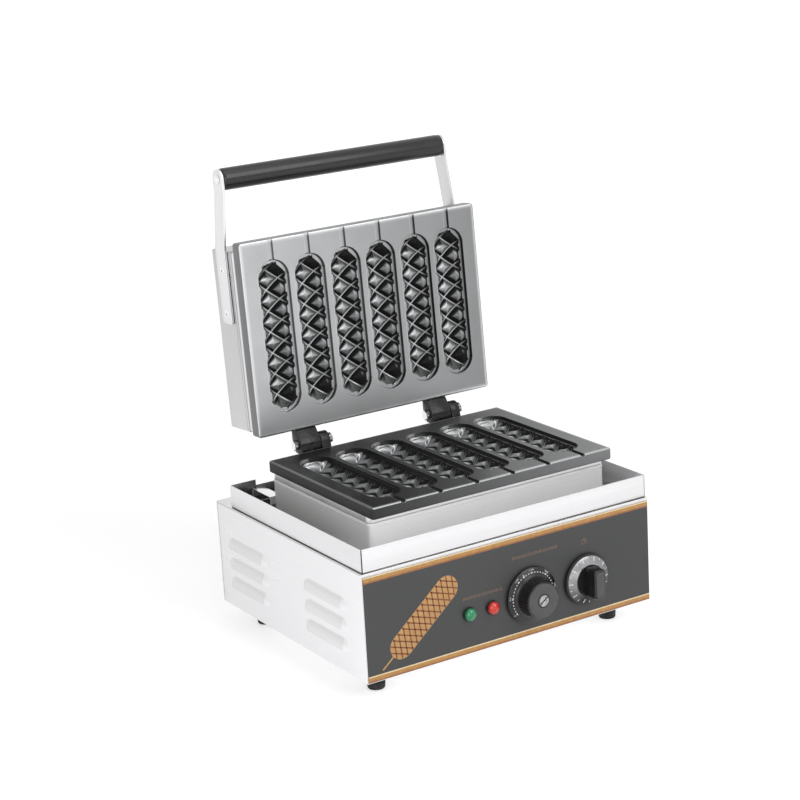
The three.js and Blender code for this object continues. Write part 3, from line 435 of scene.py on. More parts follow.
def surface(name, colour, metallic=0.0, rough=None, tint=None, relief=None, **sockets):
    """A finish varied by noises.

    Each noise has a scale and a detail first. Then come the range of the roughness, the other colour of
    the tint, or the depth and strength of the relief.
    """
    finish = Finish(name, colour, metallic, **sockets)
    for vary, values in ((finish.rough, rough), (finish.tint, tint), (finish.bump, relief)):
        if values:
            scale, detail, *rest = values
            vary(finish.noise(scale, detail), *rest)
    return finish


# Scales of brushed sheet's noise, and how far the deck's painted shade keeps off the rim and fades in
ACROSS_GRAIN = 900
ALONG_GRAIN = 12
OFF_RIM = 0.0006
SHADE_FADE = 0.1


def steel(name, grain, bright=1.0, roughness=(0.24, 0.36), metallic=1.0):
    """Brushed sheet with its grain along one axis, lightened by a factor as painted light and darkened
    where painted shade lies.
    """
    base = shade(setting("steel"), bright)
    finish = Finish(name, base, metallic)
    lines = finish.noise(1, 2, [ALONG_GRAIN if axis == grain else ACROSS_GRAIN for axis in "XYZ"])
    finish.rough(finish.noise(9, 4), *roughness)
    # painted shade turns the sheet near-black where it is laid on
    finish.darken(finish.tint(lines, shade(base, 0.96)), (0.05, 0.05, 0.04))
    finish.bump(lines, 0.00002, 0.06)
    return finish


def bright_steel(name):
    return surface(name, setting("bright_steel"), 1, (60, 3, 0.1, 0.2), None, (300, 3, 0.00003, 0.3))


def deck_steel(name):
    """Deck sheet: its own colour outside the rim, and painted shade inside the rim that fades in from
    the lower heater case's front towards the back.
    """
    finish = surface(name, setting("steel"), 1, (30, 4, 0.26, 0.42))
    low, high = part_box("tray_rim")
    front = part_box("lower_heater_case")[0].y
    share = finish.between(finish.coordinate("Y"), 0, 1, front, front + SHADE_FADE)
    for axis, start, end in (("X", low.x, high.x), ("Y", low.y, high.y)):
        inside = finish.inside(axis, start + OFF_RIM, end - OFF_RIM)
        share = calculated(finish.tree, "MULTIPLY", share, inside)
    unshaded = finish.tint(finish.noise(14, 5), (0.7, 0.69, 0.68))
    # painted shade: inside the rim the deck is turned dark olive
    finish.mix(share, unshaded, (0.16, 0.155, 0.13, 1))
    return finish


def dial_silver(name):
    """Spun ring with a painted highlight: its tone turns from silver to dark grey round it."""
    finish = surface(name, linear("b4b4b6"), 1, (90, 3, 0.14, 0.24))
    # painted highlight: the ring turns dark grey where its painted shade is thick
    finish.darken(finish.tint(finish.noise(140), linear("9c9c9e")), linear("39393b"))
    return finish


def mould_coating(name):
    """Cast face whose colour follows its painted shade: bright metal where the shade is thin, dull
    black where it is thick.
    """
    base = setting("mould_coating")
    finish = surface(name, base, 1, (35, 5, 0.27, 0.36), None, (900, 4, 0.00008, 0.13),
                     Specular_IOR_Level=0.07)
    soot = finish.darken(finish.tint(finish.noise(22, 6), shade(base, 0.9)), (0.012, 0.012, 0.013))
    # painted shade also takes the metal away, so shaded places stop reflecting
    finish.drive(Metallic=finish.between(soot, 1, 0.05, 0.3, 0.9))
    return finish


def cast_iron(name):
    base = setting("hinge_iron")
    return surface(name, base, 0.4, (80, 5, 0.16, 0.34), (60, 4, shade(base, 0.6)),
                   (180, 5, 0.0012, 0.5))


def plastic(name, tone, roughness=(0.34, 0.46), grain=1400, depth=0.00005):
    colour = linear(tone)
    return surface(name, colour, 0, (40, 4, *roughness), (70, 3, shade(colour, 0.8)),
                   (grain, 3, depth, 0.4))


def film(name):
    base = setting("panel_film")
    return surface(name, base, 0, (6, 3, 0.36, 0.46), (3, 2, shade(base, 0.9)), (2600, 3, 0.00002, 0.3),
                   Specular_IOR_Level=0.35)


def ink(name, tone, other, metallic=0.0):
    return surface(name, linear(tone), metallic, (60, 3, 0.36, 0.5), (180, 4, linear(other)))


def lens(name, tone):
    colour = linear(tone)
    return surface(name, colour, 0, (120, 3, 0.08, 0.18), (260, 3, shade(colour, 0.72)),
                   Subsurface_Weight=0.25, Subsurface_Radius=(0.004, 0.004, 0.004), Coat_Weight=0.4)


def fibre(name):
    """Felted blanket, flatter along Z."""
    finish = surface(name, linear("e9e4d8"), relief=(700, 6, 0.0006, 0.7), Roughness=0.95)
    finish.tint(finish.noise(300, 6, (1, 1, 6)), linear("cfc8b8"))
    return finish


RUBBER = (surface, linear("1c1c1c"), 0, (120, 4, 0.65, 0.9), (90, 3, linear("2b2b2b")),
          (1500, 3, 0.00008, 0.5))

# What makes each finish, and the values for it
FINISHES = {
    "steel_along_x": (steel, "X"),
    # steel_along_y and satin_steel are lighter copies of the same steel, as painted light
    "steel_along_y": (steel, "Y", 1.1),
    "steel_along_z": (steel, "Z"),
    "satin_steel": (steel, "X", 1.33, (0.3, 0.4), 0.1),
    "bright_steel": (bright_steel,),
    "deck_steel": (deck_steel,),
    "cap_steel": (surface, (0.55, 0.55, 0.555), 1, (240, 3, 0.15, 0.35), (420, 3, (0.2, 0.2, 0.205))),
    "dial_silver": (dial_silver,),
    "mould_coating": (mould_coating,),
    "hinge_iron": (cast_iron,),
    "element_sheath": (surface, linear("4b4642"), 0.7, (90, 3, 0.4, 0.65), (45, 5, linear("2c2a2c"))),
    "ceramic_fibre": (fibre,),
    "black_plastic": (plastic, "141415", (0.24, 0.34)),
    "grip_plastic": (plastic, "131213", (0.22, 0.34)),
    "knob_face": (plastic, "515153", (0.5, 0.6), 900, 0.0001),
    "cream_plastic": (plastic, "d9d2bd"),
    "rubber": RUBBER,
    # black rubber strips that stand in for shadow in the rim's gaps
    "seam_filler": RUBBER,
    "panel_film": (film,),
    "gold_ink": (ink, "c1935a", "b0814a", 0.35),
    "cream_ink": (ink, "efdcb8", "e3cba0", 0.2),
    "bronze_ink": (ink, "a4704a", "93603c", 0.3),
    "tan_ink": (ink, "c79d68", "b98a52"),
    "brown_ink": (ink, "7d4526", "8c5430"),
    "copper_ink": (ink, "8c7060", "7b6254", 0.1),
    "white_ink": (ink, "e8e8e6", "d2d2d0"),
    "green_lens": (lens, "139662"),
    "red_lens": (lens, "e4281a"),
}


def finish_of(name):
    """The finish of that name, made at its first use."""
    own_name = f"waffle_{name}"
    made = bpy.data.materials.get(own_name)
    if made is None:
        maker, *values = FINISHES[name]
        made = maker(own_name, *values).material
    return made


def colour_setting(name, description, default):
    return FloatVectorProperty(name=name, description=description, default=default, subtype="COLOR",
                               size=3, min=0, max=1)


def length_setting(name, description, default):
    return FloatProperty(name=name, description=description, default=default, unit="LENGTH")


# What a user can change
class WaffleFinishes(PropertyGroup):
    """Colours of the finishes."""

    steel: colour_setting("Steel", "Colour of the brushed sheet", (0.75, 0.745, 0.755))
    bright_steel: colour_setting("Bright steel", "Colour of plated steel", (0.83, 0.83, 0.84))
    mould_coating: colour_setting("Mould coating", "Colour of the coating", (0.61, 0.62, 0.625))
    hinge_iron: colour_setting("Hinge iron", "Colour of the hinge castings", (0.018, 0.018, 0.019))
    panel_film: colour_setting("Panel film", "Colour of the control film", (0.066, 0.067, 0.068))


class WaffleCasing(PropertyGroup):
    """Sizes of the casing's sheet work."""

    sheet: length_setting("Sheet", "Thickness of the casing's sheet", 0.0012)
    louvre_length: length_setting("Louvre length", "Length of a louvre", 0.096)
    louvre_height: length_setting("Louvre height", "Height of a louvre", 0.014)
    louvre_depth: length_setting("Louvre depth", "How far a louvre stands out", 0.0048)
    louvre_pitch: length_setting("Louvre pitch", "Height from louvre to louvre", 0.025)
    louvre_rows: IntProperty(name="Louvre rows", description="Louvres in a column", default=3, min=1)
    stripe: length_setting("Stripe", "Width of the film's stripes", 0.0075)


class WaffleMoulds(PropertyGroup):
    """Sizes of the moulds."""

    count: IntProperty(name="Moulds", description="Moulds in a plate", default=6, min=1)
    land_depth: length_setting("Land depth", "Depth of the land round a mould", 0.0040)
    lattice_rows: IntProperty(name="Lattice rows", description="Diamonds in a row", default=7, min=2)
    groove_depth: length_setting("Groove depth", "Depth of the lattice grooves", 0.0105)
    diamond_depth: length_setting("Diamond depth", "Depth of the diamonds' tops", 0.0062)
    groove_width: length_setting("Groove width", "Width of a lattice groove at its top", 0.0076)
    grid: length_setting("Grid", "Spacing of the plates' finest points", 0.0006)


def smooth(edge0, edge1, value):
    """Smooth step between two edges."""
    t = np.clip((value - edge0) / (edge1 - edge0), 0, 1)
    return t * t * (3 - 2 * t)


# Layout of the plates: their outlines, then the moulds as the photo shows them
PLATE_EDGE = 14
PLATE_BEVEL = 2
PLATE_CORNER = 4
MOULD_END_SPACE = 17
PAD_THICK = 24
PAD_MARGIN = 7
LAND = (42, 185)
LATTICE = (35.5, 178.5)
LATTICE_CORNER = 11
LATTICE_SHIFT = (-3.2, 4.6)
TEETH = 2.2
TROUGH_SPAN = 38
DIAMONDS_ACROSS = 1.08
STICK_RADIUS = 3.3
STICK_DEPTH = 2.5
UPPER_EXTRA = 3
LAND_EASE = 0.35
LATTICE_START = 0.7
DOME = 2.4
COARSE = (1.5, 2.0)

# Painted shade and highlights of the plates: shade on their sides and bevel, at the moulds' ends, and
# how it leans; highlights down the groove lines and along the edges
# the lower plate is painted much darker than the upper, as shaded and lit copies of one coating
LOWER_SHADE_TONES = (0.92, -0.19, 0.5, 0.3)
UPPER_SHADE_TONES = (0.41, -0.16, 0.44, 0.9)
SIDE_PAINTED_SHADE = 0.71
BEVEL_PAINTED_SHADE = (0.1, 0.15, 0.4)
LEFT_BEVEL_PAINTED_SHADE = 0.72
FRONT_PAINTED_SHADE = 0.92
GROOVE_LINE_HIGHLIGHT = 0.75
BACK_PAINTED_SHADE = 0.045
MOULD_SHADE_LEAN = 0.16
FLANK_SHADE_STEEPNESS = 1.1
EVEN_END_PAINTED_SHADE = 0.66
EDGE_HIGHLIGHT = 0.5
EDGE_HIGHLIGHT_WIDTH = 1.6


def mould_relief(x, y, sizes, crown_painted_shade, end_painted_shade):
    """Depth, painted shade of the lattice and share of lattice at a place measured from the middle of a
    mould.
    """
    land_width, land_length = LAND
    land = np.hypot(x, np.maximum(np.abs(y) - (land_length - land_width) / 2, 0)) - land_width / 2
    depth = mm(sizes.land_depth) * smooth(LAND_EASE, -LAND_EASE, land)
    width, length = LATTICE
    across, along = width / DIAMONDS_ACROSS, length / sizes.lattice_rows
    spacing = across * along / math.hypot(across, along)
    lean = 2 * (x - LATTICE_SHIFT[0] + across / 4) / across
    climb = 2 * (y + LATTICE_SHIFT[1]) / along - 1
    to_line = [np.abs(value - np.round(value)) * spacing
               for value in ((climb + lean) / 2, (climb - lean) / 2)]
    distance = np.minimum(*to_line)
    past = np.maximum(np.abs(y) - (length - TROUGH_SPAN) / 2, 0)
    share = np.clip(np.hypot(x, past) / (TROUGH_SPAN / 2), 0, 1)
    bowl = np.sqrt(1 - share * share)
    half_groove = mm(sizes.groove_width) / 2
    crown = np.clip((distance - half_groove) / (spacing / 2 - half_groove), 0, 1)
    floor = mm(sizes.groove_depth) * bowl
    top = (mm(sizes.diamond_depth) - DOME * np.sin(crown * math.pi / 2)) * bowl
    wall = smooth(0.8, half_groove, distance)
    lattice = floor + (top - floor) * wall + mm(sizes.land_depth) * LATTICE_START
    edge = np.maximum(np.maximum(np.abs(x) - width / 2, np.abs(y) - length / 2),
                      (np.abs(x) + np.abs(y) - (width + length) / 2 + LATTICE_CORNER) / math.sqrt(2))
    edge = edge + TEETH * (wall - 0.5)
    in_lattice = smooth(0.1, -0.75, edge)
    depth = np.maximum(depth, lattice * in_lattice)
    stick = np.minimum(np.sqrt(np.maximum(STICK_RADIUS ** 2 - x * x, 0)), STICK_DEPTH)
    in_stick = (y < -length / 2 + STICK_RADIUS) & (stick > depth)
    # painted shade: dark grooves round lighter diamond tops
    soot = crown_painted_shade + (1 - crown_painted_shade) * smooth(half_groove + 2.2, half_groove - 1.2, distance)
    # painted shade at the mould's stick end, and the mould's own painted shade at its back end
    soot = np.maximum(soot, FRONT_PAINTED_SHADE * smooth(-length / 2 + 22, -length / 2 + 16, y))
    soot = soot + (end_painted_shade - soot) * smooth(length / 2 - 28, length / 2 - 16, y)
    # painted highlight down the middle of each groove
    soot = soot - GROOVE_LINE_HIGHLIGHT * smooth(1.0, 0.5, distance) * soot
    return np.where(in_stick, stick, depth), soot, np.where(in_stick, 0, in_lattice)


def grid_lines(spans, fine, coarse):
    """Line places over spans of (start, end, fine or not)."""
    lines = [spans[0][0]]
    for start, end, is_fine in spans:
        steps = max(1, round((end - start) / (fine if is_fine else coarse)))
        lines += [start + (end - start) * (i + 1) / steps for i in range(steps)]
    return np.array(lines)


def plate_grid(half, length, pitch, centres, reach, fine):
    """Places of the grid's lines across and along a plate, close together at corners and moulds."""
    inner = PLATE_CORNER - PLATE_BEVEL
    first = -half + PLATE_BEVEL
    spans = [(first, first + inner, True), (first + inner, centres[0] - reach, False)]
    for centre in centres[:-1]:
        spans += [(centre - reach, centre + reach, True),
                  (centre + reach, centre + pitch - reach, False)]
    last = centres[-1]
    spans += [(last - reach, last + reach, True), (last + reach, -first - inner, False),
              (-first - inner, -first, True)]
    start, end = (length - LAND[1]) / 2 - 1, (length + LAND[1]) / 2 + 1
    low, high = PLATE_BEVEL, length - PLATE_BEVEL
    rows = [(low, low + inner, True), (low + inner, start, False), (start, end, True),
            (end, high - inner, False), (high - inner, high, True)]
    return grid_lines(spans, fine, COARSE[0]), grid_lines(rows, fine, COARSE[1])


def within_corners(x, y, half, length):
    """The nearest place that lies further in than a plate's round corners."""
    inner = PLATE_CORNER - PLATE_BEVEL
    side, low, high = -half + PLATE_BEVEL + inner, PLATE_BEVEL + inner, length - PLATE_BEVEL - inner
    return np.clip(x, side, -side), np.clip(y, low, high)


def plate_face(xs, ys, half, length, centres, reach, sizes, lit_sign, shade_tones):
    """Depth and painted shade of a plate's face over its grid."""
    face_painted_shade, lean_painted_shade, crown_painted_shade, end_painted_shade = shade_tones
    x, y = np.meshgrid(xs, ys)
    depth = np.zeros_like(x)
    # painted shade: a base for the whole face that leans across it and, on the lower plate, from front
    # to back
    soot = face_painted_shade + lean_painted_shade * x / half + BACK_PAINTED_SHADE * (lit_sign + 1) * (2 * y / length - 1)
    for centre in centres:
        near = np.abs(x - centre) < reach
        relief = mould_relief(x - centre, y - length / 2, sizes, crown_painted_shade, end_painted_shade)
        here, here_painted_shade, in_lattice = relief
        # painted shade leans across each mould as well
        here_painted_shade = here_painted_shade + MOULD_SHADE_LEAN * lit_sign * (x - centre) / (LATTICE[0] / 2)
        depth = np.where(near, here, depth)
        soot = np.where(near, soot + (here_painted_shade - soot) * in_lattice, soot)
    # painted shade on flanks turned from the lit side, painted light on flanks turned to it
    flank = np.tanh(-FLANK_SHADE_STEEPNESS * lit_sign * np.gradient(depth, xs, axis=1))
    ends = np.tanh(FLANK_SHADE_STEEPNESS * np.abs(np.gradient(depth, ys, axis=0)))
    soot = soot + np.where(flank > 0, 0.5, 0.4) * flank + 0.5 * (end_painted_shade - EVEN_END_PAINTED_SHADE) * ends
    # painted highlight along the plate's edges
    margin = np.minimum(np.minimum(x + half, half - x), np.minimum(y, length - y))
    near_edge = np.exp(-(np.maximum(margin - PLATE_BEVEL, 0) / EDGE_HIGHLIGHT_WIDTH) ** 2)
    return depth, np.clip(soot - EDGE_HIGHLIGHT * near_edge, 0, 1)


def plate_sides(top, border, half, length, thick, pad_half):
    """Rings of points from a face's border down to the pad behind it, and the faces between them."""
    edge = top[border]
    outward = edge[:, :2] - np.stack(within_corners(edge[:, 0], edge[:, 1], half, length), -1)
    outward /= np.linalg.norm(outward, axis=1)[:, None]
    profile = [(PLATE_BEVEL * math.sin(a), -PLATE_BEVEL * (1 - math.cos(a)))
               for a in np.radians((18, 36, 54, 72, 90))]
    profile += [(out, -thick - z) for out, z in reversed(profile)] + [(0, -thick)]
    rings = [np.column_stack([edge[:, :2] + outward * out, np.minimum(edge[:, 2], z)])
             for out, z in profile]
    pad_length = LATTICE[1] + 2 * PAD_MARGIN
    pad = np.column_stack([edge[:, 0] * pad_half / half,
                           length / 2 + (edge[:, 1] - length / 2) * pad_length / length])
    rings += [np.column_stack([pad, np.full(len(pad), z)]) for z in (-thick, -PAD_THICK)]
    faces, before, total, size = [], border, len(top), len(border)
    for _ in rings:
        after = np.arange(total, total + size)
        faces.append(np.stack([np.roll(before, -1), before, after, np.roll(after, -1)], -1))
        before, total = after, total + size
    faces.append(np.stack([np.roll(before, -1), before, np.full(size, total)], -1))
    return rings, faces


def mould_plate_shape(width, length, sizes, lit_sign, shade_tones):
    """A mould plate face up at z = 0, its front edge at y = 0, and its painted shade.

    Flanks that face the lit side, set by lit_sign, are painted brighter. The shade tones are the
    painted shade of the face, how much it grows with x, and the painted shade of the diamonds' tops and
    of the moulds' back ends.
    """
    half, count = width / 2, sizes.count
    pitch = (width - 2 * MOULD_END_SPACE) / count
    reach = LAND[0] / 2 + 1
    centres = [(i - (count - 1) / 2) * pitch for i in range(count)]
    xs, ys = plate_grid(half, length, pitch, centres, reach, mm(sizes.grid))
    depth, soot = plate_face(xs, ys, half, length, centres, reach, sizes, lit_sign, shade_tones)
    x, y = np.meshgrid(xs, ys)
    inner = PLATE_CORNER - PLATE_BEVEL
    box_x, box_y = within_corners(x, y, half, length)
    u, v = (x - box_x) / inner, (y - box_y) / inner
    x, y = (box_x + inner * u * np.sqrt(1 - v * v / 2), box_y + inner * v * np.sqrt(1 - u * u / 2))
    top = np.stack([x, y, -depth], axis=-1).reshape(-1, 3)
    index = np.arange(x.size).reshape(x.shape)
    quads = np.stack([index[:-1, :-1], index[:-1, 1:], index[1:, 1:], index[1:, :-1]], -1)
    border = np.concatenate([index[0, :-1], index[:-1, -1], index[-1, :0:-1], index[:0:-1, 0]])
    # lit_sign is 1 for the lower plate and -1 for the upper, whose x runs the other way
    thick = PLATE_EDGE + UPPER_EXTRA * (1 - lit_sign) / 2
    pad_half = (count - 1) * pitch / 2 + LATTICE[0] / 2 + PAD_MARGIN
    rings, faces = plate_sides(top, border, half, length, thick, pad_half)
    points = np.concatenate([top, *rings, [[0, length / 2, -PAD_THICK]]])
    # painted shade on the plate's sides, darker towards one side as the light falls
    skirt = SIDE_PAINTED_SHADE + 0.09 * lit_sign - 0.07 * (1 + lit_sign) * points[len(top):, 0] / half
    soot = np.concatenate([soot.ravel(), np.clip(skirt, 0, 1)])
    # bevel rings: painted highlight on the right side, painted shade on the left
    for ring, value in enumerate(BEVEL_PAINTED_SHADE):
        at = len(top) + ring * len(border)
        is_right = top[border, 0] > 1 + PLATE_BEVEL - half
        soot[at:at + len(border)] = np.where(is_right, value, LEFT_BEVEL_PAINTED_SHADE)
    blocks = [quads.reshape(-1, 4), *faces]
    return (points.tolist(), [tuple(face) for block in blocks for face in block.tolist()]), soot


class WAFFLE_OT_mould_plates(Operator):
    """Lower and upper mould plates with their latticed moulds"""

    bl_idname = "waffle_maker.mould_plates"
    bl_label = "Mould Plates"

    def execute(self, context):
        sizes = context.scene.waffle_moulds
        low, high = laid_box("upper_mould_plate")
        lower_face = laid_box("lower_mould_plate")[1].z
        span = high.x - low.x, high.y - low.y
        # the lower plate takes the dark painted shade tones and the upper the lighter ones, as shaded
        # and lit copies
        shape, soot = mould_plate_shape(*span, sizes, 1, LOWER_SHADE_TONES)
        add_piece("lower_plate", shifted(shape, (0, low.y, lower_face)), "mould_coating", "casing",
                  ["lower_mould_plate"], crease=60, soot=soot)
        shape, soot = mould_plate_shape(*span, sizes, -1, UPPER_SHADE_TONES)
        add_piece("upper_plate", moved(shape, FLIPPED, (0, low.y, low.z)), "mould_coating", "lid",
                  ["upper_mould_plate"], crease=60, soot=soot)
        pocket = lathe([(3.4, 0), (4, 0.6), (4, 7.4), (3.4, 8)], 24)
        pocket = shifted(pocket, (45, high.y, lower_face - 10))
        add_piece("probe_pocket", pocket, "mould_coating", "casing")
        return {"FINISHED"}


# Layout of the side panels, and their painted shade
LOUVRE_ROOM = 5
LOUVRE_COLUMNS = (84, 266)
TOP_ROW_DROP = 52
DECK_THICK = 1.5
LOUVRE_STEPS = (80, 12)
BEND = 1.6
FOLD = 12
LOUVRE_PAINTED_SHADE = 0.12
LIT_LOUVRE_END = 9
BACKWARD_PAINTED_SHADE = 0.08


def louvre_height_at(y, z, louvres, sizes):
    """How far the louvres push the side out at a place."""
    height, length = mm(sizes.louvre_height), mm(sizes.louvre_length)
    out = 0.0
    for middle_y, foot in louvres:
        if z < foot - NEARLY_NONE or z > foot + height or abs(y - middle_y) > length / 2:
            continue
        past = max(abs(y - middle_y) - (length / 2 - height), 0)
        share = min(math.hypot(past, z - foot) / height, 1)
        out = max(out, mm(sizes.louvre_depth) * (1 - share * share) ** 0.75)
    return out


def side_panel_shape(side, low, high, louvres, sizes):
    """A side panel with returns at front and back and louvres that are open below."""
    sheet, height, length = mm(sizes.sheet), mm(sizes.louvre_height), mm(sizes.louvre_length)
    face = max(abs(low.x), abs(high.x)) - LOUVRE_ROOM
    bends = [(BEND * (1 - math.sin(a)), BEND * (1 - math.cos(a))) for a in np.radians((30, 60))]
    ys = {low.y + BEND, high.y - BEND}
    along, up = LOUVRE_STEPS
    for middle_y in {y for y, _ in louvres}:
        ys |= {middle_y - length / 2 - 2 + (length + 4) * i / along for i in range(along + 1)}
    columns = [(face - FOLD, low.y), (face - BEND, low.y)]
    columns += [(face - inward, low.y + back) for inward, back in bends]
    columns += [(face, y) for y in sorted(ys)]
    columns += [(face - inward, high.y - back) for back, inward in bends]
    columns += [(face - BEND, high.y), (face - FOLD, high.y)]
    rows = {(low.z, 1), (high.z, 0)}
    for foot in {z for _, z in louvres}:
        rows |= {(foot - 0.6, 1), (foot, 0), (foot, 1), (foot + height + 0.6, 1)}
        rows |= {(foot + height * i / up, 1) for i in range(1, up + 1)}
    rows = sorted(rows)
    points, index = [], {}
    for r, (z, is_above) in enumerate(rows):
        has_twin = not is_above and r + 1 < len(rows) and rows[r + 1][0] == z
        for c, (x, y) in enumerate(columns):
            out = louvre_height_at(y, z, louvres, sizes) if x == face else 0
            index[r, c] = None if has_twin and out < NEARLY_NONE else len(points)
            if index[r, c] is not None:
                points.append((side * (x + out * is_above), y, z))
    for (r, c), found in index.items():
        if found is None:
            index[r, c] = index[r + 1, c]
    faces = [(index[r, c], index[r, c + 1], index[r + 1, c + 1], index[r + 1, c])
             for r in range(len(rows) - 1) if rows[r][0] != rows[r + 1][0]
             for c in range(len(columns) - 1)]
    return thickened(points, faces, sheet, side)


def thickened(points, faces, sheet, side):
    """A skin given its thickness on the inner side."""
    work = bmesh.new()
    vertices = [work.verts.new(point) for point in points]
    for face in faces:
        work.faces.new([vertices[i] for i in face])
    bmesh.ops.recalc_face_normals(work, faces=work.faces)
    work.normal_update()
    middle_face = max(work.faces, key=lambda face: face.calc_area())
    if middle_face.normal.x * side < 0:
        bmesh.ops.reverse_faces(work, faces=work.faces)
        work.normal_update()
    bmesh.ops.solidify(work, geom=work.faces[:], thickness=sheet)
    work.verts.index_update()
    shape = ([tuple(v.co) for v in work.verts], [tuple(v.index for v in f.verts) for f in work.faces])
    work.free()
    return shape


class WAFFLE_OT_side_panels(Operator):
    """Side panels with pressed louvres"""

    bl_idname = "waffle_maker.side_panels"
    bl_label = "Side Panels"

    def execute(self, context):
        sizes = context.scene.waffle_casing
        height = mm(sizes.louvre_height)
        for side, word in ((-1, "left"), (1, "right")):
            low, high = laid_box(f"{word}_side_panel")
            top_row = high.z + DECK_THICK - TOP_ROW_DROP
            louvres = [(y, top_row - row * mm(sizes.louvre_pitch))
                       for y in LOUVRE_COLUMNS for row in range(sizes.louvre_rows)]
            if louvres[-1][1] < 0 or top_row + height > high.z:
                raise RuntimeError("the louvres don't fit the side panel")
            shape = side_panel_shape(side, low, high, louvres, sizes)
            face = max(abs(low.x), abs(high.x)) - LOUVRE_ROOM
            ends = [at - mm(sizes.louvre_length) / 2 for at in LOUVRE_COLUMNS]
            # painted shade on the louvres, left off their front ends as painted highlights, and growing
            # towards the panel's back
            soot = []
            for x, y, _ in shape[0]:
                on_louvre = abs(x) > face + 0.5 and min(abs(y - end) for end in ends) > LIT_LOUVRE_END
                soot.append(LOUVRE_PAINTED_SHADE * on_louvre + BACKWARD_PAINTED_SHADE * (y - low.y) / (high.y - low.y))
            add_piece(f"{word}_side", shape, "steel_along_y", "casing", [f"{word}_side_panel"],
                      crease=50, soot=soot)
        return {"FINISHED"}


# Painted shade inside the rim, on the lower case's sides and the right half of its front and back, and
# up and down the upper case
INNER_PAINTED_SHADE = 0.7
CASE_PAINTED_SHADE = 0.2
UPPER_CASE_PAINTED_SHADE = (0.36, 0.16)


class WAFFLE_OT_rim(Operator):
    """Rim round the drip channel, black strips as painted shadow in its corner seams and under it, and
    the stays behind the heater case
    """

    bl_idname = "waffle_maker.rim"
    bl_label = "Rim and Stays"

    def execute(self, context):
        sheet = mm(context.scene.waffle_casing.sheet)
        low, high = laid_box("tray_rim")
        seam, notch, lowered, corner, inset, lap = 0.9, 1.3, 7, 35, 0.35, 0.2
        left, right, front, back, base, top = low.x, high.x, low.y, high.y, low.z + seam, high.z
        walls = [slab((x0, y0, base), (x1, y1, z1)) for x0, x1, y0, y1, z1 in (
            (left + notch, right - notch, front, front + sheet, top),
            (left, left + sheet, front + notch, back, top),
            (right - sheet, right, front + notch, back, top),
            (left + sheet, left + corner, back - sheet, back, top),
            (right - corner, right - sheet, back - sheet, back, top),
            (left + corner - sheet, right - corner + sheet, back - sheet, back, top - lowered))]
        shape = joined(*walls)
        # painted shade on the rim walls' inner faces
        soot = [INNER_PAINTED_SHADE * (min(x - left, right - x, back - y, 2 * (y - front) - 3) > sheet * 0.6)
                for x, y, _ in shape[0]]
        add_piece("rim_walls", shape, "steel_along_x", "casing", ["tray_rim"], soot=soot)
        # black strips in the gap under the rim and in its front corner notches stand in for their
        # shadow
        fill = notch + lap
        beads = [slab((x0, y0, z0), (x1, y1, z1), lap) for x0, x1, y0, y1, z0, z1 in (
            (left + inset, right - inset, front + inset, front + sheet, low.z, base + lap),
            (left + inset, left + sheet, front + sheet, back - inset, low.z, base + lap),
            (right - sheet, right - inset, front + sheet, back - inset, low.z, base + lap),
            (left + sheet, right - sheet, back - sheet, back - inset, low.z, base + lap),
            (left + inset, left + fill, front + inset, front + fill, base, top - 2 * lap),
            (right - fill, right - inset, front + inset, front + fill, base, top - 2 * lap))]
        add_piece("rim_seam_filler", joined(*beads), "seam_filler", "casing")
        for word in ("left", "right"):
            low, high = laid_box(f"{word}_stay")
            thick, top = 1.5, high.z - 0.01
            outline = [(low.y + thick, low.z), (low.y + thick, high.z - thick),
                       (high.y - thick, high.z - thick), (high.y - thick, low.z),
                       (high.y, low.z), (high.y, top), (low.y, top), (low.y, low.z)]
            add_piece(f"{word}_stay_strip", run_along_x(outline, low.x, high.x, 0.3), "bright_steel",
                      "casing", [f"{word}_stay"])
        return {"FINISHED"}


def case_profile(mouth, closed_end, flange, lip):
    """Section of a heater case: wall, lip with the fine line under it, and flange turned in."""
    step = 1 if closed_end > mouth else -1
    line = mouth + step * lip
    return [
        (flange, mouth), (1.2, mouth), (0.35, mouth + step * 0.35), (0, mouth + step * 1.2),
        (0, line), (0.8, line + step * 0.1), (0.8, line + step * 0.9), (0.15, line + step),
        (0.15, closed_end),
    ]


class WAFFLE_OT_heater_cases(Operator):
    """Heater cases under the lower plate and behind the upper one"""

    bl_idname = "waffle_maker.heater_cases"
    bl_label = "Heater Cases"

    def execute(self, context):
        sheet = mm(context.scene.waffle_casing.sheet)
        flange, corner, lip = 8, 8, 3.2
        low, high = laid_box("lower_heater_case")
        outer = case_profile(high.z, low.z, flange, lip)
        inner = [(0.15 + sheet, low.z), (0.15 + sheet, high.z - sheet), (flange, high.z - sheet)]
        shape = frame_run(low, high, corner, outer + inner)
        # painted shade on the case's sides and on the right half of its front and back
        soot = [CASE_PAINTED_SHADE if max(low.x + corner - x, x - high.x + corner) > 0 and y > low.y + corner / 2
                else CASE_PAINTED_SHADE * (x > 0) for x, y, _ in shape[0]]
        add_piece("lower_case", shape, "satin_steel", "casing", ["lower_heater_case"], soot=soot)
        low, high = laid_box("upper_heater_case")
        soft, corner = 2.4, 3
        outer = case_profile(low.z, high.z - soft, flange, lip)
        outer += [(0.15 + soft * (1 - math.cos(a)), high.z - soft * (1 - math.sin(a)))
                  for a in np.radians((30, 60, 90))]
        inner = [(soft + sheet, high.z - sheet), (0.15 + sheet, high.z - soft - sheet),
                 (0.15 + sheet, low.z + sheet), (flange, low.z + sheet)]
        shell = frame_run(low, high, corner, outer + inner)
        lid_plate = frame_run(low, high, corner, [(soft, high.z - sheet), (soft, high.z - 0.01)], False)
        shape = joined(shell, lid_plate)
        # painted shade, thickest at the case's front edge and thinning towards its back
        first, fall = UPPER_CASE_PAINTED_SHADE
        soot = [first - fall * (y - low.y) / (high.y - low.y) for _, y, _ in shape[0]]
        add_piece("upper_case", shape, "steel_along_z", "lid", ["upper_heater_case"], soot=soot)
        return {"FINISHED"}


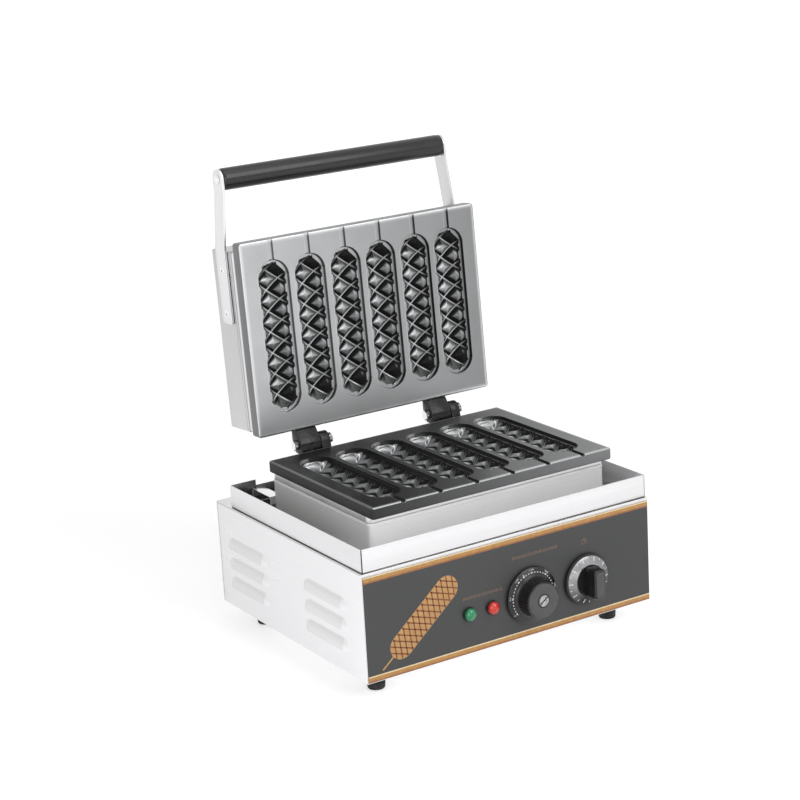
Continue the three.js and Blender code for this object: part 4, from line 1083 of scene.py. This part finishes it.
class WAFFLE_OT_handle(Operator):
    """Handle arms, grip, rod with riveted ends and arm screws"""

    bl_idname = "waffle_maker.handle"
    bl_label = "Handle"

    def execute(self, context):
        for side, word in ((-1, "left"), (1, "right")):
            node = f"{word}_handle_arm"
            shape = self.arm(side, *laid_box(node))
            # painted shade: the right arm is made darker than the left
            soot = [0.15 if side > 0 else 0] * len(shape[0])
            add_piece(f"{word}_arm", shape, "steel_along_z", "lid", [node], soot=soot)
            for which in ("lower", "upper"):
                self.screw(f"{word}_{which}_arm_screw", side)
        low, high = laid_box("handle_grip")
        half, swell = (high.x - low.x) / 2, 0.9
        profile = offset_from((high.z - low.z) / 2 + swell, -half,
                              [(-3.5, 0), (-1.2, 0.3), (-0.35, 1.6), (0, 4.5)])
        place = middle("handle_grip") + Vector((0, swell + 0.08, 0))
        grip = moved(lathe(mirrored(profile), 72), ALONG_X, place)
        add_piece("grip", grip, "grip_plastic", "lid", ["handle_grip"])
        low, high = laid_box("handle_rod")
        half = (high.x - low.x) / 2
        profile = offset_from(0, -half, [(1.5, 0), (4, 0.35), (5.6, 1.2), (6, 1.6), (4, 1.6)])
        rod = moved(lathe(mirrored(profile), 32), ALONG_X, middle("handle_rod"))
        add_piece("rod_and_rivets", rod, "bright_steel", "lid", ["handle_rod"])
        return {"FINISHED"}

    def arm(self, side, low, high):
        """A flat arm that lies on the case, leans in above it and ends round at the grip."""
        thick, lean, ease, corner = 3, 7, 0.5, 3
        half, centre = (high.z - low.z) / 2, (low.z + high.z) / 2
        grip_y, knee_y = low.y + half, laid_box("upper_heater_case")[0].y - 2
        head_y = grip_y + 16
        outer = max(abs(low.x), abs(high.x))
        stations = [(grip_y - half * math.cos(a), half * math.sin(a))
                    for a in np.radians(range(6, 91, 6))]
        stations += [(bend + step, half) for bend in (head_y, knee_y) for step in (-3, 0, 3)]
        stations += [(high.y - corner * (1 - math.sin(a)), half - corner * (1 - math.cos(a)))
                     for a in np.radians(range(0, 91, 18))]
        rings = []
        for y, reach in stations:
            share = smooth(-0.03, 1.03, (knee_y - y) / (knee_y - head_y))
            inward = lean * (0.5 * share + 0.5 * min(max((knee_y - y) / (knee_y - head_y), 0), 1))
            x1 = outer - inward
            loop = rounded_loop(x1 - thick, x1, centre - reach, centre + reach, min(ease, reach / 2), 2)
            rings.append([(side * x, y, z) for x, z in loop])
        return loft(rings)

    def screw(self, node, side):
        """A countersunk screw with a black cross on its flush head that stands for the shade in its
        recess.
        """
        low, high = laid_box(node)
        length, radius = high.x - low.x, (high.z - low.z) / 2 - 0.3
        head = offset_from(radius, length, [(0, -0.1), (-0.1, 0.15), (-1, 0.3)])
        shank = lathe([(2.4, 0), (2.4, length - 2), *head, (0.3, length + 0.4)], 28)
        turn = ALONG_X if side > 0 else ALONG_X @ FLIPPED
        start = low.x if side > 0 else high.x
        place = (start, *middle(node).yz)
        cross = driver_cross(2.1, 0.4, length - 1.0, length + 0.42, 0.1)
        add_piece(f"{node}_head", moved(shank, turn, place), "bright_steel", "lid", [node])
        # a black cross on the head stands for the shade in its recess
        add_piece(f"{node}_cross", moved(cross, turn, place), "hinge_iron", "lid")


def touching(point, centre, radius, turn):
    """Where a line from a point touches a round, on one side or the other."""
    dy, dz = centre[0] - point[0], centre[1] - point[1]
    far = math.hypot(dy, dz)
    angle = math.atan2(dz, dy) + turn * math.asin(radius / far)
    run = math.sqrt(far * far - radius * radius)
    return point[0] + run * math.cos(angle), point[1] + run * math.sin(angle)


def arc(centre, radius, start, end, steps):
    """Points round a centre from one angle to another, in radians."""
    angles = [start + (end - start) * i / steps for i in range(steps + 1)]
    return [(centre[0] + radius * math.cos(a), centre[1] + radius * math.sin(a)) for a in angles]


def round_between(first, last, centre, radius):
    """The outer way round a knuckle from one touching point to another, anticlockwise."""
    start, end = (math.atan2(y - centre[1], x - centre[0]) for x, y in (first, last))
    while end < start:
        end += 2 * math.pi
    return arc(centre, radius, start, end, KNUCKLE_STEPS)


# Hinge leaves, as in the CAD source
SEAT = 0.3
KNUCKLE_RADIUS = 11
KNUCKLE_STEPS = 12
BASE_KNUCKLE = 13
LEAF_THICK = 6
HEEL_REACH = 18
HEEL_THICK = 7
STOP_NEAR = 8
STOP_ROOT = 28


class WAFFLE_OT_hinges(Operator):
    """Hinge castings, pins and nuts"""

    bl_idname = "waffle_maker.hinges"
    bl_label = "Hinges"

    def execute(self, context):
        for side in ("left", "right"):
            self.lid_leaf(side)
            self.base_leaf(side)
            self.bolt(side)
        return {"FINISHED"}

    def lid_leaf(self, side):
        """The lid's leaf: a lug on the plate's back edge and a heel that meets the stop."""
        low, high = laid_box(f"{side}_hinge_lid_leaf")
        plate_low, plate_high = laid_box("upper_mould_plate")
        centre = (PIN.y, PIN.z)
        front, sill, top = plate_high.y + SEAT, plate_low.z + PLATE_BEVEL, plate_low.z + PLATE_EDGE
        first = touching((front, sill), centre, KNUCKLE_RADIUS, -1)
        last = touching((front, top), centre, KNUCKLE_RADIUS, 1)
        lug = [(front, sill)] + round_between(first, last, centre, KNUCKLE_RADIUS) + [(front, top)]
        sole = centre[1] - KNUCKLE_RADIUS
        heel = [(centre[0], sole), (centre[0] + HEEL_REACH, sole),
                (centre[0] + HEEL_REACH, sole + HEEL_THICK), centre]
        shape = joined(run_along_x(filleted(lug, 0.8), low.x, high.x, 1.0),
                       run_along_x(filleted(heel, 0.8), low.x + 0.4, high.x - 0.4, 0.8))
        add_piece(f"{side}_lid_leaf", shape, "hinge_iron", "lid", [f"{side}_hinge_lid_leaf"])

    def base_leaf(self, side):
        """The casing's leaf: a foot, a knuckle and the stop that the open lid rests on."""
        low, high = laid_box(f"{side}_hinge_base_leaf")
        case, plate = laid_box("lower_heater_case")[1], laid_box("lower_mould_plate")[1]
        centre = (PIN.y, PIN.z)
        front, edge, under = case.y + SEAT, plate.y + SEAT, plate.z - PLATE_EDGE - SEAT
        back, stop_top = front + LEAF_THICK, self.stop_point(STOP_NEAR)
        stop = [(front, low.z), (back, low.z), (back, low.z + STOP_ROOT), self.stop_point(HEEL_REACH),
                stop_top, (edge, stop_top[1]), (edge, under), (front, under)]
        first = touching((back, low.z), centre, KNUCKLE_RADIUS, -1)
        last = touching((edge, under), centre, KNUCKLE_RADIUS, 1)
        neck = [(front, low.z), (back, low.z)] + round_between(first, last, centre, KNUCKLE_RADIUS)
        neck += [(edge, under), (front, under)]
        shape = joined(run_along_x(filleted(neck, 0.6), high.x - BASE_KNUCKLE, high.x, 1.0),
                       run_along_x(filleted(stop, 0.4), low.x, high.x - BASE_KNUCKLE + 1, 0.6))
        add_piece(f"{side}_base_leaf", shape, "hinge_iron", "casing", [f"{side}_hinge_base_leaf"])

    def stop_point(self, reach):
        """Place on the stop's face, a gap off the heel's underside when the lid is open."""
        dz = -KNUCKLE_RADIUS - SEAT
        return (PIN.y + reach * math.cos(open_angle) + dz * math.sin(open_angle),
                PIN.z - reach * math.sin(open_angle) + dz * math.cos(open_angle))

    def bolt(self, side):
        """Hinge pin with its hexagon head, and the nut on its end."""
        low, high = laid_box(f"{side}_hinge_pin")
        radius, head = (high.z - low.z) / 2, 5
        length = high.x - low.x
        head_shape = lathe([(radius - 0.9, 0), (radius, 0.7), (radius, head)], 6)
        washer_face = lathe([(radius * 0.62, -0.01), (radius * 0.8, 0.25), (radius * 0.8, 1)], 32)
        shank = lathe([(4, 2), (4, length - 0.8), (3.3, length)], 24)
        centre = (low + high) / 2
        shape = moved(joined(head_shape, washer_face, shank), ALONG_X, (low.x, centre.y, centre.z))
        add_piece(f"{side}_pin", shape, "bright_steel", "casing", [f"{side}_hinge_pin"])
        low, high = laid_box(f"{side}_hinge_nut")
        length = high.x - low.x
        profile = [(4.3, 0), (radius - 0.8, 0), (radius, 0.6),
                   (radius, length - 0.6), (radius - 0.8, length), (4.3, length)]
        nut = moved(lathe(profile, 6, closed=True), ALONG_X, (low.x, centre.y, centre.z))
        add_piece(f"{side}_nut", nut, "bright_steel", "casing", [f"{side}_hinge_nut"])


# Controls: shapes are drawn with Z out of the panel and stand on the film's front
def add_on_panel(name, shape, centre, finish, body, replaces=(), soot=None):
    """Adds such a shape at a place on the panel."""
    place = (centre.x, 0, centre.z)
    add_piece(name, moved(shape, OUT_OF_PANEL, place), finish, body, replaces, soot=soot)


def flat_mark(outline, height, thick=0.15):
    """A thin printed mark with its face at a height."""
    return shifted(prism(outline, thick, 0.04), (0, 0, height))


def numeral(text, size, radius, angle, height):
    """Digits as thin raised print, standing at an angle round a dial."""
    curve = bpy.data.curves.new("digits", "FONT")
    curve.body, curve.size, curve.extrude = text, size, 0.06
    curve.align_x, curve.align_y = "CENTER", "CENTER"
    curve.resolution_u = 3
    holder = bpy.data.objects.new("digits", curve)
    mesh = bpy.data.meshes.new_from_object(holder)
    shape = ([tuple(v.co) for v in mesh.vertices], [tuple(p.vertices) for p in mesh.polygons])
    bpy.data.objects.remove(holder)
    bpy.data.meshes.remove(mesh)
    bpy.data.curves.remove(curve)
    turn = Matrix.Rotation(angle - math.pi / 2, 4, "Z")
    return moved(shape, turn, (*polar(radius, angle), height))


# The temperature dial's marks, in degrees and millimetres
DIAL_START = 215
DOT_STEP = 8.2
DOT_SIZES = (1.05, 1.6)
DOTS_RADIUS = 28.4
NUMERAL_STEP = 41
NUMERALS_RADIUS = 31.2
SHAFT_BORE = [(4.3, 14), (4.3, 2)]


class WAFFLE_OT_temperature_knob(Operator):
    """Temperature knob with its marks and slotted cap"""

    bl_idname = "waffle_maker.temperature_knob"
    bl_label = "Temperature Knob"

    def execute(self, context):
        low, high = laid_box("temperature_knob")
        centre = (low + high) / 2
        skirt, reach = (high.x - low.x) / 2, -low.y
        profile = [*SHAFT_BORE,
                   *offset_from(skirt, 0, [(-1.2, 2), (-0.2, 2.4), (0, 3.2), (-0.3, 4.4), (-1.2, 5.0)]),
                   (26.0, 7.4), (24.5, 8.2), (23.8, 9.5), (23.4, 11.5),
                   *offset_from(0, reach, [(22.2, -4), (21.9, -2.2), (21.0, -0.8), (19.7, -0.15),
                                           (18.7, -0.1)])]
        body = lathe(profile, 144, lobes=36, fluted=((10, 0.5), (11, 0.9), (12, 0.6)))
        add_on_panel("temperature_body", body, centre, "black_plastic", "temperature_control",
                     ["temperature_knob"])
        face = lathe(offset_from(0, reach, [(8, -1.1), (8.2, -0.2), (9, 0.02), (19.6, 0.02),
                                            (20.2, -0.25), (20.2, -1.1)]), 96)
        add_on_panel("temperature_face", face, centre, "knob_face", "temperature_control")
        cap_low, cap_high = laid_box("temperature_cap")
        cap_radius, top = (cap_high.x - cap_low.x) / 2 - 0.9, -cap_low.y
        halves = []
        for sign in (-1, 1):
            arc_points = [(x, sign * y) for x, y in (polar(cap_radius, a) for a in
                                                     np.linspace(0.11, math.pi - 0.11, 25))]
            if sign < 0:
                arc_points.reverse()
            halves.append(shifted(prism(arc_points, 1.3, 0.35), (0, 0, top - 1.3)))
        disc = lathe([(cap_radius - 0.05, top - 1.8), (cap_radius - 0.05, top - 1.0)], 48)
        cap = spun(joined(disc, *halves), math.radians(35))
        add_on_panel("slotted_cap", cap, centre, "cap_steel", "temperature_control",
                     ["temperature_cap"])
        marks = []
        for i in range(31):
            angle = math.radians(DIAL_START - i * DOT_STEP)
            size = DOT_SIZES[i % 5 == 0]
            dot = [polar(size, a) for a in np.radians(np.arange(0, 360, 45))]
            marks.append(shifted(flat_mark(dot, 6.45, 0.25), (*polar(DOTS_RADIUS, angle), 0)))
        for i, text in enumerate(("0", "50", "100", "150", "200", "250", "300")):
            angle = math.radians(DIAL_START - i * NUMERAL_STEP)
            marks.append(numeral(text, 4.6, NUMERALS_RADIUS, angle, 5.7))
        bar = [(-0.7, 25.6), (0.7, 25.6), (0.7, 31.6), (-0.7, 31.6)]
        marks.append(spun(flat_mark(bar, 6.4, 0.5), math.radians(25)))
        add_on_panel("temperature_marks", joined(*marks), centre, "white_ink", "temperature_control")
        return {"FINISHED"}


# The dial ring's painted highlight: its mean shade, its change round the ring, and where it is
# brightest
RING_MEAN_SHADE = 0.62
RING_HIGHLIGHT_SWING = 0.55
RING_HIGHLIGHT_AT = math.radians(112)


class WAFFLE_OT_timer_knob(Operator):
    """Timer knob: disc, bar grip and silver dial ring with its ticks"""

    bl_idname = "waffle_maker.timer_knob"
    bl_label = "Timer Knob"

    def execute(self, context):
        low, high = laid_box("timer_knob")
        centre = (low + high) / 2
        disc, reach = (high.x - low.x) / 2, -low.y
        edge = offset_from(disc, 0, [(-1.0, 2), (-0.2, 2.5), (0, 3.4), (-0.4, 4.6), (-1.4, 5.0)])
        body = lathe([*SHAFT_BORE, *edge, (18.9, 5.0), (18.9, 10.0)], 96)
        bar = rounded_loop(-8, 8, -18, 18, 4, 5)
        crown = offset_from(0, reach, [(0, -2.6), (0.25, -1.3), (1.0, -0.5), (2.2, -0.2)])
        grip = stacked(bar, [(0, 5), *crown])
        add_on_panel("timer_body", joined(body, grip), centre, "black_plastic", "timer_control",
                     ["timer_knob"])
        face = rounded_loop(-5.4, 5.4, -15.4, 15.4, 2, 4)
        add_on_panel("timer_grip_face", flat_mark(face, reach - 0.22), centre, "knob_face",
                     "timer_control")
        low, high = laid_box("timer_dial")
        outer = (high.x - low.x) / 2
        profile = [(19.4, 5.3), (outer, 5.3), (outer, 5.9), (20.0, 10.2), (19.4, 10.2)]
        ring = lathe(profile, 96, closed=True)
        # painted highlight round the dial ring, brightest at one angle and darkest opposite
        tone = [RING_MEAN_SHADE - RING_HIGHLIGHT_SWING * math.cos(math.atan2(y, x) - RING_HIGHLIGHT_AT)
                for x, y, _ in ring[0]]
        add_on_panel("timer_dial_ring", ring, centre, "dial_silver", "timer_control",
                     ["timer_dial"], tone)
        ticks = []
        slope = math.atan2(4.3, outer - 20.0)
        for i in range(20):
            angle = math.radians(18 * i)
            wide, start = (0.7, 22.6) if i % 2 == 0 else (0.45, 25.2)
            outline = [(start, -wide), (28.2, -wide), (28.2, wide), (start, wide)]
            tick = shifted(flat_mark(outline, 0, 0.18), (-outer, 0, 0))
            tick = moved(tick, Matrix.Rotation(slope, 4, "Y"), (outer, 0, 5.86))
            ticks.append(spun(tick, angle))
        add_on_panel("timer_ticks", joined(*ticks), centre, "white_ink", "timer_control")
        return {"FINISHED"}


class WAFFLE_OT_lights(Operator):
    """Pilot lights: bezels and lenses"""

    bl_idname = "waffle_maker.lights"
    bl_label = "Pilot Lights"

    def execute(self, context):
        for word, colour in (("power", "green_lens"), ("heat", "red_lens")):
            low, high = laid_box(f"{word}_light_body")
            centre = (low + high) / 2
            bezel = (high.x - low.x) / 2
            rim = offset_from(bezel, 0, [(-0.2, 0.3), (0, 0.7), (-0.2, 1.6), (-0.6, 2.15)])
            profile = [(5.7, -24), (5.7, 0.3), *rim, (7.5, 2.2)]
            add_on_panel(f"{word}_bezel", lathe(profile, 64), centre, "black_plastic", "casing",
                         [f"{word}_light_body"])
            profile = [(7.3, 2.5), (7.5, 2.8), (7.5, 4.4), (7.2, 5.4), (6.5, 6.5), (5.4, 7.4),
                       (4.0, 8.2), (2.4, 8.75), (1.0, 9.0)]
            add_on_panel(f"{word}_lens", lathe(profile, 64), centre, colour, "casing",
                         [f"{word}_light_lens"])
        return {"FINISHED"}


# The scales' strokes: their spacing, half their width, and their reach up and down
PRINT_THICK = 0.1
STROKE_PITCH = 1.9
STROKE_HALF = 0.36
STROKE_REACH = (1.6, 2.3)


class WAFFLE_OT_prints(Operator):
    """Printed stripes, the plain waffle picture and the symbols on the film"""

    bl_idname = "waffle_maker.prints"
    bl_label = "Prints"

    def execute(self, context):
        low, high = laid_box("control_film")
        stripe = mm(context.scene.waffle_casing.stripe)
        shares = (("bronze", 0, 0.25), ("gold", 0.25, 0.8), ("cream", 0.8, 1))
        for word, start, end in shares:
            bands = [slab((low.x, -0.06, z + stripe * start), (high.x, 0.2, z + stripe * end), 0.03)
                     for z in (low.z, high.z - stripe)]
            add_piece(f"{word}_stripes", joined(*bands), f"{word}_ink", "casing")
        self.picture()
        self.symbols()
        return {"FINISHED"}

    def picture(self):
        """A tan capsule on a stick with a plain lattice over it."""
        length, width, lean = 113, 31, math.radians(40)
        half, radius = length / 2, width / 2
        capsule = arc((half - radius, 0), radius, -math.pi / 2, math.pi / 2, 14)
        capsule += arc((radius - half, 0), radius, math.pi / 2, 1.5 * math.pi, 14)
        stick = [(-half - 19, -1.0), (-half + 2, -1.0), (-half + 2, 1.0), (-half - 19, 1.0)]
        centre = Vector((-122, 0, 60.5))
        shape = joined(flat_mark(capsule, 0.0, 0.12), flat_mark(stick, 0.0, 0.1))
        add_on_panel("picture_waffle", spun(shape, lean), centre, "tan_ink", "casing")
        lines = []
        step, slant, wide = 8.6, math.radians(57), 0.8
        for sign in (-1, 1):
            direction = Vector((math.cos(slant), sign * math.sin(slant)))
            for i in range(-12, 13):
                found = self.chord(Vector((i * step, 0)), direction, half, radius - 0.6)
                if found:
                    start, end = found
                    across = Vector((-direction.y, direction.x)) * wide
                    strip = [start - across, end - across, end + across, start + across]
                    lines.append(flat_mark(strip, 0.06, 0.12))
        add_on_panel("picture_lattice", spun(joined(*lines), lean), centre, "brown_ink", "casing")

    def chord(self, origin, direction, half, radius):
        """The part of a line that lies in the capsule, or None."""
        inside = []
        for i in range(-400, 401):
            point = origin + direction * (i * 0.2)
            past = max(abs(point.x) - (half - radius), 0)
            if math.hypot(past, point.y) < radius:
                inside.append(point)
        return (inside[0], inside[-1]) if len(inside) > 8 else None

    def symbols(self):
        """Plain signs over the lights and the knobs."""
        marks = []

        def bar(x0, x1, z0, z1):
            marks.append(flat_mark([(x0, z0), (x1, z0), (x1, z1), (x0, z1)], 0, PRINT_THICK))

        def ring(x, z, radius, wide):
            angles = np.radians(np.linspace(0, 359, 25))
            outer = [(x + radius * math.cos(a), z + radius * math.sin(a)) for a in angles]
            inner = [(x + (radius - wide) * math.cos(a), z + (radius - wide) * math.sin(a))
                     for a in reversed(angles)]
            marks.append(flat_mark(outer + inner, 0, PRINT_THICK))

        power, heat, timer = map(middle, ("power_light_body", "heat_light_body", "timer_knob"))
        self.hatch(bar, (power.x + heat.x) / 2 + 4, power.z + 19, 56)
        self.hatch(bar, middle("temperature_knob").x + 9, timer.z + 49, 64)
        rise = 46
        ring(timer.x, timer.z + rise, 3.6, 0.7)
        bar(timer.x - 0.35, timer.x + 0.35, timer.z + rise, timer.z + rise + 2.6)
        bar(timer.x, timer.x + 2.2, timer.z + rise - 0.3, timer.z + rise + 0.4)
        add_on_panel("panel_symbols", joined(*marks), Vector((0, 0, 0)), "copper_ink", "casing")

    def hatch(self, bar, x, z, length):
        """A plain scale of upright strokes, every fourth one taller."""
        count = round(length / STROKE_PITCH)
        for i in range(count):
            at = x + (i - (count - 1) / 2) * STROKE_PITCH
            tall = STROKE_REACH[i % 4 == 0]
            bar(at - STROKE_HALF, at + STROKE_HALF, z - tall, z + tall)


class WAFFLE_OT_fittings(Operator):
    """Feet, gland and the casing's screws"""

    bl_idname = "waffle_maker.fittings"
    bl_label = "Feet and Fittings"

    def execute(self, context):
        for word in ("front_left", "back_left", "front_right", "back_right"):
            low, high = laid_box(f"{word}_foot")
            radius, toe, centre = (high.x - low.x) / 2, low.z, (low + high) / 2
            profile = offset_from(radius, toe, [(-3.6, 0), (-1.8, 0.4), (-1.1, 1.6), (-0.8, 8),
                                                (-1.3, 8.6), (-1.3, 10), (-0.7, 10.6)])
            profile += offset_from(radius, 0, [(0, -2.0), (-0.4, -0.6), (-1.4, -0.3)])
            profile += [(3, -0.3), (3, high.z)]
            foot = shifted(lathe(profile, 48), (centre.x, centre.y, 0))
            add_piece(f"{word}_rubber_foot", foot, "rubber", "casing", [f"{word}_foot"])
        self.gland()
        self.screws()
        return {"FINISHED"}

    def gland(self):
        """Supply gland with its hexagon nut and domed cap."""
        centre, back = middle("supply_gland"), laid_box("back_panel")[1].y
        nut = lathe([(12.2, 0.3), (13, 1.0), (13, 5.6), (12.2, 6.3)], 6)
        profile = [(4, -10), (9, -10), (9, 0.5), (9.6, 0.5), (9.6, 6), (9.4, 9), (8.8, 12),
                   (7.4, 14.4), (5.8, 15.8), (4.4, 16), (4, 15.4)]
        dome = lathe(profile, 48, closed=True, lobes=12, fluted=((5, 0.5), (6, 0.6), (7, 0.4)))
        shape = moved(joined(nut, dome), INTO_BACK, (centre.x, back, centre.z))
        add_piece("gland_nut_and_dome", shape, "black_plastic", "casing", ["supply_gland"])

    def screws(self):
        """Small screws that hold the side and back panels."""
        head = lathe([(1.5, -1.0), (3.2, -1.0), (3.2, 0.5), (2.7, 1.2), (1.6, 1.7), (0.4, 1.85)], 28)
        cross = driver_cross(1.5, 0.3, 1.0, 1.9, 0.08)
        back = laid_box("back_panel")[1].y
        heads, crosses = [], []
        for x in (-188, 0, 188):
            for z in (10, 118):
                heads.append(moved(head, INTO_BACK, (x, back, z)))
                crosses.append(moved(cross, INTO_BACK, (x, back, z)))
        add_piece("panel_screws", joined(*heads), "bright_steel", "casing")
        # black crosses on the heads stand for the shade in their recesses
        add_piece("panel_screw_crosses", joined(*crosses), "hinge_iron", "casing")


# Finishes of the CAD pieces that are shown as they are, or lie inside; the others are bright steel
NODE_FINISHES = {
    "deck": "deck_steel", "control_film": "panel_film",
    "deck_grommet": "rubber", "lid_grommet": "rubber",
    "thermostat": "cream_plastic", "terminal_block": "cream_plastic",
    "lower_carrier_frame": "steel_along_x", "upper_carrier_frame": "steel_along_z",
    "lower_element_clamp": "steel_along_y", "upper_element_clamp": "steel_along_z",
    "lower_heating_element": "element_sheath", "upper_heating_element": "element_sheath",
    "lower_insulation": "ceramic_fibre", "upper_insulation": "ceramic_fibre",
    "front_panel": "steel_along_x", "back_panel": "steel_along_x", "bottom_pan": "steel_along_x",
}
EASED_NODES = ("deck", "front_panel", "back_panel", "lower_carrier_frame", "upper_carrier_frame")


class WAFFLE_OT_kept_nodes(Operator):
    """Finishes for the CAD pieces that are shown as they are"""

    bl_idname = "waffle_maker.kept_nodes"
    bl_label = "Kept Pieces"

    def execute(self, context):
        for name, node in frame["nodes"].items():
            finish = finish_of(NODE_FINISHES.get(name, "bright_steel"))
            node.data.materials.clear()
            node.data.materials.append(finish)
        for name in EASED_NODES:
            node = frame["nodes"][name]
            weld = node.modifiers.new("weld", "WELD")
            weld.merge_threshold = 0.00001
            ease = node.modifiers.new("eased_edges", "BEVEL")
            ease.width, ease.segments, ease.limit_method = 0.00025, 2, "ANGLE"
            ease.harden_normals = True
        return {"FINISHED"}


# The stage in metres, watts and degrees. A lamp has a name, place, size and power.
FLOOR_REACH = 30.0
FLOOR_THICK = 0.02
LAMPS = (("key", (0.9, -2.5, 2.1), 2.0, 33), ("fill", (-1.5, -2.3, 0.9), 1.6, 17),
         ("top", (0.1, -0.6, 2.6), 1.8, 9))
AIM = (0, 0, 0.2)
CAMERA_PLACE = (-1.31811, -2.08530, 0.98473)
CAMERA_ANGLES = (31.667, 15.913, -3.259)
CAMERA_LENS = 96.91


class WAFFLE_OT_stage(Operator):
    """Floor, light and the camera"""

    bl_idname = "waffle_maker.stage"
    bl_label = "Stage"

    def execute(self, context):
        self.floor()
        self.world()
        for lamp in LAMPS:
            self.lamp(*lamp)
        self.camera()
        context.scene.view_settings.view_transform = "Standard"
        return {"FINISHED"}

    def floor(self):
        low, high = (-FLOOR_REACH, -FLOOR_REACH, -FLOOR_THICK), (FLOOR_REACH, FLOOR_REACH, 0)
        points, faces = slab(low, high, 0.005)
        mesh = bpy.data.meshes.new("floor")
        mesh.from_pydata(points, [], faces)
        made = Finish("floor_paint", (0.86, 0.86, 0.865), Roughness=0.6, Specular_IOR_Level=0.25)
        made.tint(made.noise(1.5), (0.85, 0.85, 0.855))
        tree = made.tree
        far = made.between(made.distance(), 0.5, 0.7, 0.8, 3.0)
        strength = calculated(tree, "MULTIPLY", seen_directly(tree), far)
        glow = made.node("ShaderNodeEmission", Strength=strength)
        both = tree.nodes.new("ShaderNodeAddShader")
        feed(tree, both, {0: made.shader.outputs[0], 1: glow.outputs[0]})
        output = next(node for node in tree.nodes if node.type == "OUTPUT_MATERIAL")
        feed(tree, output, {"Surface": both.outputs[0]})
        mesh.materials.append(made.material)
        floor = bpy.data.objects.new("floor", mesh)
        bpy.context.scene.collection.objects.link(floor)

    def world(self):
        world = bpy.data.worlds.new("studio")
        bpy.context.scene.world = world
        world.use_nodes = True
        tree = world.node_tree
        background = next(node for node in tree.nodes if node.type == "BACKGROUND")
        level = tree.nodes.new("ShaderNodeMapRange")
        feed(tree, level, {"Value": seen_directly(tree), "To Min": 0.4, "To Max": 1.0})
        feed(tree, background, {"Color": (1, 1, 1, 1), "Strength": level.outputs["Result"]})

    def lamp(self, name, place, size, power):
        light = bpy.data.lights.new(name, "AREA")
        light.shape, light.size, light.energy = "SQUARE", size, power
        lamp = bpy.data.objects.new(name, light)
        lamp.location = place
        lamp.rotation_mode = "QUATERNION"
        lamp.rotation_quaternion = (Vector(place) - Vector(AIM)).to_track_quat("Z", "Y")
        bpy.context.scene.collection.objects.link(lamp)

    def camera(self):
        data = bpy.data.cameras.new("camera")
        data.sensor_width, data.lens = 36, CAMERA_LENS
        data.clip_start, data.clip_end = 0.05, 100
        camera = bpy.data.objects.new("camera", data)
        azimuth, elevation, roll = map(math.radians, CAMERA_ANGLES)
        turn = (Matrix.Rotation(-azimuth, 4, "Z") @ Matrix.Rotation(math.pi / 2 - elevation, 4, "X")
                @ Matrix.Rotation(roll, 4, "Z"))
        camera.matrix_world = Matrix.Translation(CAMERA_PLACE) @ turn
        bpy.context.scene.collection.objects.link(camera)
        bpy.context.scene.camera = camera


BUILDERS = (
    WAFFLE_OT_kept_nodes, WAFFLE_OT_mould_plates, WAFFLE_OT_side_panels, WAFFLE_OT_rim,
    WAFFLE_OT_heater_cases, WAFFLE_OT_handle, WAFFLE_OT_hinges, WAFFLE_OT_temperature_knob,
    WAFFLE_OT_timer_knob, WAFFLE_OT_lights, WAFFLE_OT_prints, WAFFLE_OT_fittings, WAFFLE_OT_stage,
)


class WAFFLE_PT_panel(Panel):
    """Lists the sizes, colours and builders"""

    bl_idname = "WAFFLE_PT_panel"
    bl_label = "Waffle Maker"
    bl_space_type = "VIEW_3D"
    bl_region_type = "UI"
    bl_category = "Waffle Maker"

    def draw(self, context):
        for group in GROUPS:
            settings = getattr(context.scene, group)
            box = self.layout.box()
            for name in settings.__annotations__:
                box.prop(settings, name)
        for builder in BUILDERS:
            self.layout.operator(builder.bl_idname)


GROUPS = {"waffle_finishes": WaffleFinishes, "waffle_casing": WaffleCasing,
          "waffle_moulds": WaffleMoulds}
CLASSES = (*GROUPS.values(), *BUILDERS, WAFFLE_PT_panel)


def register():
    """Adds the classes and their settings."""
    for item in CLASSES:
        bpy.utils.register_class(item)
    for name, group in GROUPS.items():
        setattr(bpy.types.Scene, name, PointerProperty(type=group))


def unregister():
    """Takes them away again."""
    for name in GROUPS:
        delattr(bpy.types.Scene, name)
    for item in reversed(CLASSES):
        bpy.utils.unregister_class(item)


def main():
    """Builds the whole scene."""
    register()
    for builder in BUILDERS:
        group, name = builder.bl_idname.split(".")
        getattr(getattr(bpy.ops, group), name)()


if __name__ == "__main__":
    main()
